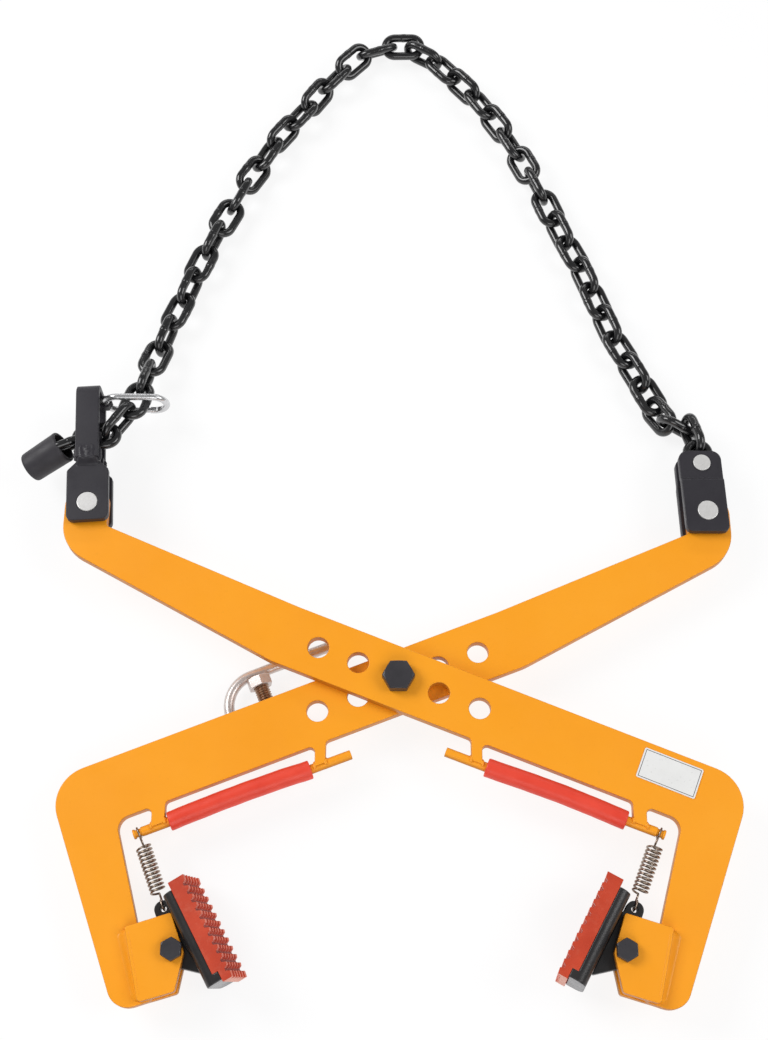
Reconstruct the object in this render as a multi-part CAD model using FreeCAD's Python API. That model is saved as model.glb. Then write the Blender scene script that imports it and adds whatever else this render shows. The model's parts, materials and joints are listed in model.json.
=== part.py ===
import FreeCAD, Part
import os
import math

V = FreeCAD.Vector

# ---------------------------------------------------------------------------
# Driving dimensions (mm).  Working axes: pivot axis = Z, X to the right,
# Y towards the chain, floor at about z = 0.
# ---------------------------------------------------------------------------
ARM_T = 10.0                 # arm plate thickness
BACK_Z = 25.0                # underside of the back arm
FRONT_Z = 36.0               # underside of the front arm
HOLE_D = 18.0                # pivot and adjusting holes
HOLE_PITCH = 36.2
HOLE_LINE_DEG = -21.07       # direction of the row of holes on the front arm
EAR_X, EAR_Y, EAR_R = 271.7, 155.0, 21.0
EAR_IN = 17.0                # arm end: half width on the inner side
ARM_PIN_R = 9.0
RUN_FIT = 0.05               # radial clearance of turning fits
TAB_OUT = (189.5, 200.4)     # rest-rod tabs, x limits
TAB_IN = (59.8, 68.9)

PIVOT_D = 16.0
BUSH_OD, BUSH_ID = 17.9, 16.0
SPACER_T, SPACER_D = 0.7, 42.0
WASHER_T, WASHER_D = 3.0, 30.0

CHEEK_T = 8.0
JAW_X, JAW_Y = 176.4, -220.2
JAW_BOLT_D = 10.0
JAW_BOLT_L = 40.0
LUG_T = 9.4

PAD_ANGLE = 60.8             # direction of the pad's long axis, right side
PAD_FACE = 24.4              # jaw bolt to the pad's back face
BAR_T, BAR_W = 9.7, 46.0
BAR_S0, BAR_S1 = -40.5, 39.3
LIP_S, LIP_T = 7.0, 5.0
PAD_S0, PAD_S1 = -42.5, 45.3
PAD_T, TOOTH_T = 13.8, 3.2
ROW_PITCH, ROW_GAP = 7.317, 2.6
COL_PITCH, COL_GAP = 7.67, 2.2
ROLL_LEFT, ROLL_RIGHT = 11.0, -4.0
EAR_S, EAR_TT, EAR_LUG_R = 32.8, 7.5, 6.6
EAR_HOLE_R = 2.5

ROD_R = 4.0
ROD_OUT = (214.6, -129.1)
ROD_IN = (39.0, -61.8)
SLEEVE_R, SLEEVE_BORE = 8.0, 4.3
NECK_R, NECK_AT, NECK_W = 3.2, 4.5, 5.0

SPRING_R, SPRING_WIRE, SPRING_TURNS = 5.8, 0.9, 12

STOP_N = 57.6                # stop rod line: distance from the pivot
STOP_TAN = -108.5            # stop stud: position along the edge
STOP_Z, STUD_Z = 10.0, 15.0
STOP_ROD_R, STUD_R = 4.6, 6.5
STOP_EDGE_DEG = 21.75

CLEVIS_W, CLEVIS_T = 38.0, 7.0
CLEVIS_GAP, CLEVIS_GAP_TOP = 14.0, 9.6
CHAIN_PIN = (270.2, 201.8)
CHAIN_PIN_R = 5.0

HEAD_TILT = 4.0
HEAD_T, HEAD_GAP = 7.0, 14.0
STRAP_W, STRAP_T = 20.5, 6.0
STRAP_Y0, STRAP_Y1, STRAP_BEND = 41.0, 115.5, 12.0
EYE_AT = (11.5, 106.0)
EYE_AF, EYE_H, EYE_BORE_R = 12.0, 8.0, 4.2

CARAB_WIRE, CARAB_R, CARAB_STRAIGHT = 3.0, 13.0, 30.0
CARAB_Z = 35.0
GATE_R = 2.5

LINK_WIRE, LINK_PITCH, LINK_IN_W = 8.0, 29.0, 11.5
SLEEVE_END_R, SLEEVE_MOUTH_R, SLEEVE_END_L = 14.0, 15.0, 38.0

PLATE_C = (221.0, -79.6)
PLATE_W, PLATE_H, PLATE_T, PLATE_DEG = 50.0, 26.0, 0.8, -22.0

# chain links: centre x, y, z, long axis x, y, z, roll about the long axis (deg)
CHAIN_RIGHT = [
    (270.20, 208.00, 30.00, 0.0000, 1.0000, 0.0000, 0.0),
    (267.30, 236.21, 28.02, -0.1974, 0.9465, -0.2552, -74.6),
    (256.87, 247.42, 20.04, -0.8688, 0.2982, 0.3953, 74.7),
    (241.06, 262.08, 14.71, -0.4222, 0.8474, -0.3218, -50.6),
    (232.81, 284.43, 12.50, -0.4560, 0.8892, 0.0370, 7.2),
    (220.62, 308.19, 13.22, -0.4385, 0.8987, -0.0071, -61.7),
    (209.72, 333.20, 13.10, -0.4555, 0.8902, -0.0029, 19.2),
    (198.54, 359.37, 12.78, -0.3411, 0.9397, 0.0265, -60.9),
    (189.20, 386.25, 13.11, -0.3369, 0.9414, 0.0133, 21.5),
    (179.45, 413.06, 13.19, -0.3323, 0.9431, -0.0112, -63.2),
    (169.09, 439.70, 12.94, -0.4193, 0.9077, 0.0161, 19.8),
    (157.54, 465.79, 13.00, -0.3681, 0.9296, 0.0190, -64.6),
    (147.22, 492.01, 13.28, -0.3528, 0.9357, 0.0056, 6.5),
    (136.24, 517.99, 13.55, -0.3971, 0.9178, -0.0008, 77.6),
    (124.83, 543.95, 12.51, -0.4051, 0.9133, -0.0416, -28.3),
    (112.93, 569.81, 11.77, -0.4502, 0.8929, 0.0106, 47.1),
    (98.67, 594.52, 12.80, -0.5404, 0.8411, 0.0220, -54.5),
    (83.53, 618.70, 12.79, -0.5342, 0.8449, -0.0277, 30.2),
    (65.55, 640.69, 13.14, -0.6700, 0.7415, 0.0344, -62.5),
    (46.21, 661.69, 13.73, -0.6720, 0.7403, 0.0205, 17.0),
    (24.85, 678.78, 14.66, -0.8532, 0.5210, -0.0255, -87.4),
]
CHAIN_LEFT = [
    (4.08, 689.35, 15.45, -0.9980, 0.0305, -0.0555, -15.7),
    (-23.01, 684.12, 14.04, -0.9347, -0.3530, 0.0425, 57.1),
    (-46.97, 669.72, 15.43, -0.7023, -0.7105, -0.0453, -37.3),
    (-66.16, 648.60, 13.83, -0.6374, -0.7699, -0.0307, 45.1),
    (-83.40, 625.58, 13.90, -0.5638, -0.8259, -0.0065, -51.1),
    (-99.90, 602.16, 14.04, -0.5915, -0.8063, 0.0022, 33.1),
    (-116.61, 578.89, 14.17, -0.5949, -0.8037, -0.0117, 119.0),
    (-131.75, 554.81, 13.34, -0.4641, -0.8851, -0.0346, 40.8),
    (-145.01, 529.58, 13.16, -0.5065, -0.8615, 0.0352, -36.2),
    (-157.69, 503.96, 13.47, -0.4003, -0.9163, 0.0149, 67.4),
    (-169.18, 477.71, 14.26, -0.4229, -0.9056, 0.0329, -12.1),
    (-180.34, 451.40, 14.94, -0.3733, -0.9277, 0.0081, -89.6),
    (-191.15, 424.97, 14.43, -0.3702, -0.9286, -0.0246, 10.5),
    (-200.69, 398.29, 13.76, -0.3192, -0.9476, 0.0093, -71.9),
    (-210.58, 371.48, 14.12, -0.3711, -0.9285, 0.0163, 18.2),
    (-219.56, 344.54, 14.68, -0.2853, -0.9574, 0.0447, -80.7),
    (-227.42, 317.63, 19.28, -0.2673, -0.9345, 0.2350, -1.3),
    (-233.53, 291.12, 27.51, -0.1711, -0.9053, 0.3888, 87.2),
    (-239.35, 264.42, 35.44, -0.2375, -0.9435, 0.2310, 5.3),
    (-252.70, 240.02, 39.28, -0.5625, -0.8265, 0.0213, -81.7),
    (-271.30, 224.40, 41.38, -0.9877, -0.1548, 0.0215, 6.3),
]
TAIL_LINK = (-294.20, 217.20, 41.43, -0.9184, -0.3948, 0.0265, -105.3)
TAIL_AXIS = (-0.8350, -0.4120, -0.3570)   # direction of the tail sleeve

# ---------------------------------------------------------------------------
# helpers
# ---------------------------------------------------------------------------
def outline(pts):
    """Closed face in XY from (x, y, corner radius) points."""
    n = len(pts)
    p = [V(q[0], q[1], 0) for q in pts]
    r = [q[2] if len(q) > 2 else 0.0 for q in pts]
    a, b, m = [], [], []
    for i in range(n):
        if r[i] <= 0:
            a.append(p[i]); b.append(p[i]); m.append(None)
            continue
        u = p[i - 1] - p[i]
        w = p[(i + 1) % n] - p[i]
        u.normalize(); w.normalize()
        ang = math.acos(max(-1.0, min(1.0, u.dot(w))))
        t = r[i] / math.tan(ang / 2)
        bis = u + w
        bis.normalize()
        c = p[i] + bis * (r[i] / math.sin(ang / 2))
        a.append(p[i] + u * t); b.append(p[i] + w * t); m.append(c - bis * r[i])
    edges = []
    for i in range(n):
        if m[i] is not None:
            edges.append(Part.Arc(a[i], m[i], b[i]).toShape())
        j = (i + 1) % n
        if (a[j] - b[i]).Length > 1e-6:
            edges.append(Part.makeLine(b[i], a[j]))
    return Part.Face(Part.Wire(edges))


def slab(pts, z0, z1):
    f = outline(pts)
    f.translate(V(0, 0, z0))
    return f.extrude(V(0, 0, z1 - z0))


def cyl(r, p, d, h):
    return Part.makeCylinder(r, h, V(*p), V(*d))


def box(x0, x1, y0, y1, z0, z1):
    return Part.makeBox(x1 - x0, y1 - y0, z1 - z0, V(x0, y0, z0))


def hexagon(af, h, cham=True):
    """Hex prism on z = 0..h with a chamfered top."""
    rc = af / math.sqrt(3)
    pts = [(rc * math.cos(math.radians(60 * k + 30)), rc * math.sin(math.radians(60 * k + 30))) for k in range(6)]
    s = slab(pts, 0, h)
    if cham:
        c = (rc - af / 2 * 0.95) * math.tan(math.radians(30))
        env = Part.makeCylinder(rc + 0.01, h - c).fuse(Part.makeCone(rc + 0.01, af / 2 * 0.95, c, V(0, 0, h - c)))
        s = s.common(env)
    return s


def one(s):
    s = s.removeSplitter()
    if s.ShapeType == "Compound" and len(s.Solids) == 1:
        s = s.Solids[0]
    return s


def tube_path(points, radii, r):
    """Round bar along a polyline with rounded corners (3-D points)."""
    p = [V(*q) for q in points]
    edges = []
    start = p[0]
    for i in range(1, len(p) - 1):
        u = p[i - 1] - p[i]
        w = p[i + 1] - p[i]
        u.normalize(); w.normalize()
        ang = math.acos(max(-1.0, min(1.0, u.dot(w))))
        t = radii[i - 1] / math.tan(ang / 2)
        bis = u + w
        bis.normalize()
        c = p[i] + bis * (radii[i - 1] / math.sin(ang / 2))
        a, b = p[i] + u * t, p[i] + w * t
        edges.append(Part.makeLine(start, a))
        edges.append(Part.Arc(a, c - bis * radii[i - 1], b).toShape())
        start = b
    edges.append(Part.makeLine(start, p[-1]))
    wire = Part.Wire(edges)
    d = p[1] - p[0]
    d.normalize()
    prof = Part.Wire([Part.makeCircle(r, p[0], d)])
    return wire.makePipeShell([prof], True, True)


parts = {}


def put(name, shape):
    parts[name] = shape


BACK_MID = BACK_Z + ARM_T / 2
FRONT_MID = FRONT_Z + ARM_T / 2


# ---------------------------------------------------------------------------
# arms
# ---------------------------------------------------------------------------
def edge_y(x):               # lower edge of the arm towards the leg
    return (-26.2 - 0.3665 * x) / 0.9304


def rod_y(x):
    k = (ROD_OUT[1] - ROD_IN[1]) / (ROD_OUT[0] - ROD_IN[0])
    return ROD_IN[1] + k * (x - ROD_IN[0])


def arm(sx, z):
    l, rt = -EAR_X - EAR_R, -EAR_X + EAR_IN
    top = EAR_Y + EAR_R
    pts = [
        (l, top, 20.9), (rt, top, 16.9), (rt, 136.3, 4.0),
        (-85.1, 62.3, 60.0), (288.0, -86.6, 31.0), (219.5, -267.0, 17.0),
        (189.4, -257.3, 5.0), (228.7, -118.2, 11.0),
        (TAB_OUT[1], edge_y(TAB_OUT[1]), 4.0), (TAB_OUT[1], rod_y(TAB_OUT[1])),
        (TAB_OUT[0], rod_y(TAB_OUT[0])), (TAB_OUT[0], edge_y(TAB_OUT[0]), 4.0),
        (TAB_IN[1], edge_y(TAB_IN[1]), 4.0), (TAB_IN[1], rod_y(TAB_IN[1])),
        (TAB_IN[0], rod_y(TAB_IN[0])), (TAB_IN[0], edge_y(TAB_IN[0]), 4.0),
        (-107.3, 14.1, 60.0), (l, 116.5, 36.0),
    ]
    s = slab([(sx * q[0], q[1], q[2] if len(q) > 2 else 0) for q in pts], z, z + ARM_T)
    for k in (-2, -1, 0, 1, 2):
        x = sx * k * HOLE_PITCH * math.cos(math.radians(HOLE_LINE_DEG))
        y = k * HOLE_PITCH * math.sin(math.radians(HOLE_LINE_DEG))
        s = s.cut(cyl(HOLE_D / 2, (x, y, z - 1), (0, 0, 1), ARM_T + 2))
    s = s.cut(cyl(ARM_PIN_R + RUN_FIT, (-sx * EAR_X, EAR_Y, z - 1), (0, 0, 1), ARM_T + 2))
    a = V(sx * ROD_IN[0], ROD_IN[1], z + ARM_T / 2)
    b = V(sx * ROD_OUT[0], ROD_OUT[1], z + ARM_T / 2)
    s = s.cut(Part.makeCylinder(ROD_R, (b - a).Length, a, b - a))
    return one(s)


put("back_arm", arm(-1, BACK_Z))
put("front_arm", arm(1, FRONT_Z))

# ---------------------------------------------------------------------------
# main pivot
# ---------------------------------------------------------------------------
HEAD_Z = FRONT_Z + ARM_T + 0.3
head = hexagon(24.0, 10.0)
head.rotate(V(0, 0, 0), V(0, 0, 1), 30)
head.translate(V(0, 0, HEAD_Z))
put("pivot_bolt", one(head.fuse(cyl(PIVOT_D / 2, (0, 0, 0.6), (0, 0, 1), HEAD_Z - 0.6)).fuse(
    Part.makeCone(PIVOT_D / 2 - 0.6, PIVOT_D / 2, 0.6))))
put("pivot_bush", cyl(BUSH_OD / 2, (0, 0, BACK_Z), (0, 0, 1), HEAD_Z - BACK_Z).cut(
    cyl(BUSH_ID / 2, (0, 0, 0), (0, 0, 1), 60)))
put("pivot_spacer", cyl(SPACER_D / 2, (0, 0, BACK_Z + ARM_T), (0, 0, 1), SPACER_T).cut(
    cyl(BUSH_OD / 2, (0, 0, 0), (0, 0, 1), 60)))
put("pivot_washer", cyl(WASHER_D / 2, (0, 0, BACK_Z - WASHER_T), (0, 0, 1), WASHER_T).cut(
    cyl(PIVOT_D / 2, (0, 0, 0), (0, 0, 1), 60)))
nut = hexagon(24.0, 13.0)
nut.rotate(V(0, 0, 6.5), V(1, 0, 0), 180)
nut.translate(V(0, 0, BACK_Z - WASHER_T - 13.0))
put("pivot_nut", nut.cut(cyl(PIVOT_D / 2, (0, 0, 0), (0, 0, 1), 60)))


# ---------------------------------------------------------------------------
# jaws: cheeks, bolt, nut
# ---------------------------------------------------------------------------
def jaw(side, sx, z_arm):
    top = (177.0, -191.6, 2) if sx > 0 else (178.6, -191.8, 2)
    poly = [(214.5, -203.0, 2), top, (166.8, -221.8, 3), (172.2, -251.4, 3),
            (189.0, -256.4, 4), (200.5, -259.6, 3)]
    pts = [(sx * q[0], q[1], q[2]) for q in poly]
    hole = cyl(JAW_BOLT_D / 2, (sx * JAW_X, JAW_Y, -20), (0, 0, 1), 120)
    zt = z_arm + ARM_T
    put(side + "_cheek_front", slab(pts, zt, zt + CHEEK_T).cut(hole))
    put(side + "_cheek_back", slab(pts, z_arm - CHEEK_T, z_arm).cut(hole))
    h = hexagon(16.0, 6.4)
    h.translate(V(sx * JAW_X, JAW_Y, zt + CHEEK_T))
    put(side + "_jaw_bolt", one(h.fuse(cyl(JAW_BOLT_D / 2, (sx * JAW_X, JAW_Y, zt + CHEEK_T - JAW_BOLT_L), (0, 0, 1), JAW_BOLT_L))))
    n = hexagon(16.0, 8.0)
    n.rotate(V(0, 0, 4.0), V(1, 0, 0), 180)
    n.translate(V(sx * JAW_X, JAW_Y, z_arm - CHEEK_T - 8.0))
    put(side + "_jaw_nut", n.cut(hole))


jaw("left", -1, BACK_Z)
jaw("right", 1, FRONT_Z)


# ---------------------------------------------------------------------------
# pads: lug, holder bar, toothed pad (local s along the pad, t to the load)
# ---------------------------------------------------------------------------
def to_jaw(shape, sx, z_mid):
    shape.rotate(V(0, 0, 0), V(0, 0, 1), PAD_ANGLE if sx > 0 else 180 - PAD_ANGLE)
    shape.translate(V(sx * JAW_X, JAW_Y, z_mid))
    return shape


def pad(side, sx, z_mid, roll):
    g = sx                    # t runs along +g*Y locally
    f = PAD_FACE
    t0 = f - BAR_T

    def tz(t0_, t1_, z0_, z1_, s0_, s1_):
        y0, y1 = sorted((g * t0_, g * t1_))
        return box(s0_, s1_, y0, y1, z0_, z1_)

    # holder bar: rounded back, flat front, small lip at the lower end
    hw = BAR_W / 2
    prof = outline([(-hw, g * f), (hw, g * f), (hw, g * t0, 8.0), (-hw, g * t0, 8.0)])
    # profile lies in XY as (z, t); stand it up so that its x becomes z
    prof.rotate(V(0, 0, 0), V(0, 1, 0), -90)
    prof.translate(V(BAR_S0, 0, 0))
    bar = prof.extrude(V(BAR_S1 - BAR_S0, 0, 0))
    lip = tz(f, f + LIP_T, -hw, hw, BAR_S0, BAR_S0 + LIP_S)
    bar = one(bar.fuse(lip))
    # pad block over the bar, stepped over the lip
    blk = tz(f, f + PAD_T, -hw, hw, PAD_S0, PAD_S1)
    blk = blk.cut(tz(f - 1, f + LIP_T, -hw - 1, hw + 1, PAD_S0 - 1, BAR_S0 + LIP_S))
    k = 0
    while PAD_S0 + ROW_PITCH * (k + 1) < PAD_S1 - 2:
        s = PAD_S0 + ROW_PITCH * (k + 1)
        blk = blk.cut(tz(f + PAD_T - TOOTH_T, f + PAD_T + 1, -hw - 1, hw + 1, s - ROW_GAP / 2, s + ROW_GAP / 2))
        k += 1
    for c in range(1, 6):
        z = -hw + COL_PITCH * c
        blk = blk.cut(tz(f + PAD_T - TOOTH_T, f + PAD_T + 1, z - COL_GAP / 2, z + COL_GAP / 2, PAD_S0 - 1, PAD_S1 + 1))
    blk = one(blk)
    for s in (bar, blk):
        s.rotate(V(0, g * (t0 + BAR_T / 2), 0), V(1, 0, 0), g * roll)
    lug = slab([(q[0], g * q[1], q[2]) for q in [
        (EAR_S + 6.6, EAR_TT - 6.6, 6.5), (EAR_S + 6.6, EAR_TT + 6.6, 6.5), (26.5, EAR_TT + 6.6, 2.0), (26.5, 17.5, 0),
        (21.0, 20.0, 0), (-23.0, 20.0, 0), (-23.5, 15.5, 0), (-28.5, 15.0, 1.5), (-16.5, 1.5, 6.0), (-9.0, -10.6, 8.0), (10.0, -10.6, 9.0),
        (22.0, -1.5, 12.0)]], -LUG_T / 2, LUG_T / 2)
    lug = lug.cut(cyl(JAW_BOLT_D / 2 + RUN_FIT, (0, 0, -20), (0, 0, 1), 40))
    lug = lug.cut(cyl(EAR_HOLE_R, (EAR_S, g * EAR_TT, -20), (0, 0, 1), 40))
    lug = one(lug.cut(bar))
    if len(lug.Solids) > 1:
        lug = sorted(lug.Solids, key=lambda q: -q.Volume)[0]
    put(side + "_pad_lug", to_jaw(lug, sx, z_mid))
    put(side + "_pad_holder", to_jaw(bar, sx, z_mid))
    put(side + "_grip_pad", to_jaw(blk, sx, z_mid))


pad("left", -1, BACK_MID, ROLL_LEFT)
pad("right", 1, FRONT_MID, ROLL_RIGHT)


# ---------------------------------------------------------------------------
# rest rods, sleeves, pad springs
# ---------------------------------------------------------------------------
def rest(side, sx, z):
    a = V(sx * ROD_OUT[0], ROD_OUT[1], z)
    b = V(sx * ROD_IN[0], ROD_IN[1], z)
    d = b - a
    length = d.Length
    d.normalize()
    rod = Part.makeCylinder(ROD_R, length, a, d)
    ring = Part.makeCylinder(ROD_R + 1, NECK_W, a + d * (NECK_AT - NECK_W / 2), d).cut(
        Part.makeCylinder(NECK_R, NECK_W, a + d * (NECK_AT - NECK_W / 2), d))
    put(side + "_rest_rod", rod.cut(ring))
    s0 = (sx * TAB_OUT[0] - a.x) / d.x + (5.6 if sx > 0 else 3.4)
    s1 = (sx * TAB_IN[1] - a.x) / d.x - 3.4
    put(side + "_rest_sleeve", Part.makeCylinder(SLEEVE_R, s1 - s0, a + d * s0, d).cut(
        Part.makeCylinder(SLEEVE_BORE, s1 - s0, a + d * s0, d)))
    # spring: loop round the neck of the rod, coil, hook through the lug ear
    ang = math.radians(PAD_ANGLE if sx > 0 else 180 - PAD_ANGLE)
    ca, sa = math.cos(ang), math.sin(ang)
    es, et = EAR_S, sx * EAR_TT
    ear = V(sx * JAW_X + es * ca - et * sa, JAW_Y + es * sa + et * ca, z)
    top = a + d * NECK_AT
    u = ear - top
    dist = u.Length
    u.normalize()
    k = V(0, 0, 1)
    w = k.cross(u)
    loop_r = NECK_R + SPRING_WIRE + 0.15
    c0, c1 = 11.5, dist - 14.5
    per = 12
    tot = SPRING_TURNS * per
    pts = []
    for i in range(tot + 1):
        al = 2 * math.pi * i / per - math.pi / 2
        pts.append(top + u * (c0 + (c1 - c0) * i / tot) + w * (SPRING_R * math.cos(al)) + k * (SPRING_R * math.sin(al)))
    c = Part.BSplineCurve()
    c.interpolate(pts)
    prof = Part.Wire([Part.makeCircle(SPRING_WIRE, pts[0], c.tangent(c.FirstParameter)[0])])
    sp = Part.Wire([c.toShape()]).makePipeShell([prof], True, True)
    # top: ring round the rod neck and a straight lead to the first turn
    sp = sp.fuse(Part.makeTorus(loop_r, SPRING_WIRE, top, w))
    h0 = top + u * (c0 - 0.2) - k * SPRING_R
    h1 = top + u * (loop_r * 0.3) - k * (loop_r * 0.95)
    sp = sp.fuse(Part.makeCylinder(SPRING_WIRE * 0.98, (h0 - h1).Length, h1, h0 - h1))
    # bottom: open hook through the lug ear
    side_z = LUG_T / 2 + SPRING_WIRE + 0.5
    hook = tube_path([tuple(top + u * (c1 - 0.1) - k * SPRING_R), tuple(top + u * (c1 + 5.0) - k * side_z), tuple(top + u * (dist + 0.6) - k * side_z),
                      tuple(top + u * (dist + 0.6) + k * side_z), tuple(top + u * (dist - 5.5) + k * side_z)], [2.5, 1.6, 1.6], SPRING_WIRE * 0.99)
    sp = sp.fuse(hook)
    if len(sp.Solids) == 1:
        sp = sp.Solids[0]
    print(side, "spring", sp.ShapeType, len(sp.Solids), sp.isValid(), round(sp.Volume, 1))
    put(side + "_pad_spring", sp)


rest("left", -1, BACK_MID)
rest("right", 1, FRONT_MID)

# ---------------------------------------------------------------------------
# opening stop
# ---------------------------------------------------------------------------
te = math.radians(STOP_EDGE_DEG)
TX, TY = math.cos(te), math.sin(te)
NX, NY = -math.sin(te), math.cos(te)


def tn(t, n, z):
    return (t * TX + n * NX, t * TY + n * NY, z)


boss = box(-10, 10, 2, 24, 5, BACK_Z)
boss.rotate(V(0, 0, 0), V(0, 0, 1), STOP_EDGE_DEG)
boss.translate(V(STOP_TAN * TX, STOP_TAN * TY, 0))
stud = Part.makeCylinder(STUD_R, STOP_N - STOP_ROD_R - 0.4, V(*tn(STOP_TAN, 0, STUD_Z)), V(NX, NY, 0))
put("stop_stud", stud)
put("stop_boss", boss.cut(stud))
sn = hexagon(19.0, 9.0)
sn.rotate(V(0, 0, 0), V(0, 0, 1), 30)
sn = sn.cut(cyl(STUD_R, (0, 0, -1), (0, 0, 1), 20))
pl = FreeCAD.Placement(V(*tn(STOP_TAN, 43.3, STUD_Z)), FreeCAD.Rotation(V(0, 0, 1), V(NX, NY, 0)))
sn.Placement = pl
put("stop_nut", sn)
post_at = tn(-32.7, STOP_N, 0)
post = cyl(7.0, (post_at[0], post_at[1], STOP_Z - 5.0), (0, 0, 1), FRONT_Z - STOP_Z + 5.0)
put("stop_post", post)
rod = tube_path([tn(-32.7, STOP_N, STOP_Z), (-150.1, 2.1, STOP_Z), (-140.5, -31.0, STOP_Z)], [28.0], STOP_ROD_R)
put("stop_rod", one(rod.cut(post)))

# blank plate on the right leg
p = slab([(-PLATE_W / 2, -PLATE_H / 2, 1.5), (PLATE_W / 2, -PLATE_H / 2, 1.5), (PLATE_W / 2, PLATE_H / 2, 1.5), (-PLATE_W / 2, PLATE_H / 2, 1.5)],
         FRONT_Z + ARM_T, FRONT_Z + ARM_T + PLATE_T)
p.rotate(V(0, 0, 0), V(0, 0, 1), PLATE_DEG)
p.translate(V(PLATE_C[0], PLATE_C[1], 0))
put("blank_plate", p)

# ---------------------------------------------------------------------------
# right clevis on the back arm
# ---------------------------------------------------------------------------
cw = CLEVIS_W / 2
YJ = EAR_Y + 31.0
JOG = 1.2                     # half length of the joggle
face_pts = [(EAR_X - 0.8 - cw, EAR_Y - 19.8, 6), (EAR_X - 0.8 + cw, EAR_Y - 19.8, 6), (EAR_X - 2.9 + cw, EAR_Y + 59.2, 9), (EAR_X - 2.9 - cw, EAR_Y + 59.2, 9)]
for name, sg in (("front", 1), ("back", -1)):
    lo0, hi0 = CLEVIS_GAP / 2, CLEVIS_GAP_TOP / 2
    yz = [(EAR_Y - 30, sg * lo0), (YJ - JOG, sg * lo0), (YJ + JOG, sg * hi0), (EAR_Y + 70, sg * hi0),
          (EAR_Y + 70, sg * (hi0 + CLEVIS_T)), (YJ + JOG, sg * (hi0 + CLEVIS_T)), (YJ - JOG, sg * (lo0 + CLEVIS_T)), (EAR_Y - 30, sg * (lo0 + CLEVIS_T))]
    w = Part.makePolygon([V(EAR_X - 40, q[0], BACK_MID + q[1]) for q in yz + yz[:1]])
    s = Part.Face(w).extrude(V(80, 0, 0)).common(slab(face_pts, 0, 70))
    s = s.cut(cyl(ARM_PIN_R, (EAR_X, EAR_Y, 0), (0, 0, 1), 80))
    s = s.cut(cyl(CHAIN_PIN_R, (CHAIN_PIN[0], CHAIN_PIN[1], 0), (0, 0, 1), 80))
    put("right_clevis_" + name, one(s))
z0 = BACK_MID - CLEVIS_GAP / 2 - CLEVIS_T - 0.8
z1 = BACK_MID + CLEVIS_GAP / 2 + CLEVIS_T + 0.8
put("right_arm_pin", cyl(ARM_PIN_R, (EAR_X, EAR_Y, z0), (0, 0, 1), z1 - z0))
zh = CLEVIS_GAP_TOP / 2 + CLEVIS_T
put("right_chain_pin", one(cyl(CHAIN_PIN_R, (CHAIN_PIN[0], CHAIN_PIN[1], BACK_MID - zh), (0, 0, 1), 2 * zh).fuse(
    cyl(7.7, (CHAIN_PIN[0], CHAIN_PIN[1], BACK_MID + zh), (0, 0, 1), 1.5)).fuse(
    cyl(7.7, (CHAIN_PIN[0], CHAIN_PIN[1], BACK_MID - zh - 1.5), (0, 0, 1), 1.5))))

# ---------------------------------------------------------------------------
# left head on the front arm: plates, pin, stirrup, keeper eye
# ---------------------------------------------------------------------------
def to_head(s):
    s.rotate(V(0, 0, 0), V(0, 0, 1), HEAD_TILT)
    s.translate(V(-EAR_X, EAR_Y, FRONT_MID))
    return s


hp = [(-18.3, -16.8, 6), (18.3, -16.8, 6), (18.3, 31, 4), (10.25, 39, 3), (10.25, 52, 0), (-10.25, 52, 0), (-10.25, 39, 3), (-18.3, 31, 4)]
for name, sg in (("front", 1), ("back", -1)):
    za, zb = sorted((sg * HEAD_GAP / 2, sg * (HEAD_GAP / 2 + HEAD_T)))
    put("left_head_" + name, to_head(slab(hp, za, zb).cut(cyl(ARM_PIN_R, (0, 0, -40), (0, 0, 1), 80))))
pz = HEAD_GAP / 2 + HEAD_T + 0.8
put("left_arm_pin", to_head(cyl(ARM_PIN_R, (0, 0, -pz), (0, 0, 1), 2 * pz)))
zi = HEAD_GAP / 2 + HEAD_T
zo = zi + STRAP_T
u_out = outline([(-zo, STRAP_Y0), (zo, STRAP_Y0), (zo, STRAP_Y1, STRAP_BEND), (-zo, STRAP_Y1, STRAP_BEND)])
u_in = outline([(-zi, STRAP_Y0 - 1), (zi, STRAP_Y0 - 1), (zi, STRAP_Y1 - STRAP_T, STRAP_BEND - STRAP_T), (-zi, STRAP_Y1 - STRAP_T, STRAP_BEND - STRAP_T)])
st = u_out.extrude(V(0, 0, STRAP_W)).cut(u_in.extrude(V(0, 0, STRAP_W)))
st.rotate(V(0, 0, 0), V(0, 1, 0), -90)
st.translate(V(STRAP_W / 2, 0, 0))
put("head_stirrup", to_head(one(st)))
eye = hexagon(EYE_AF, EYE_H, False)
eye.rotate(V(0, 0, 0), V(0, 0, 1), 30)
eye = eye.cut(cyl(EYE_BORE_R, (0, 0, -1), (0, 0, 1), EYE_H + 2))
eye.translate(V(EYE_AT[0], EYE_AT[1], CARAB_Z - FRONT_MID - EYE_H / 2))
eye = eye.cut(st)
put("keeper_eye", to_head(eye))

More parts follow.
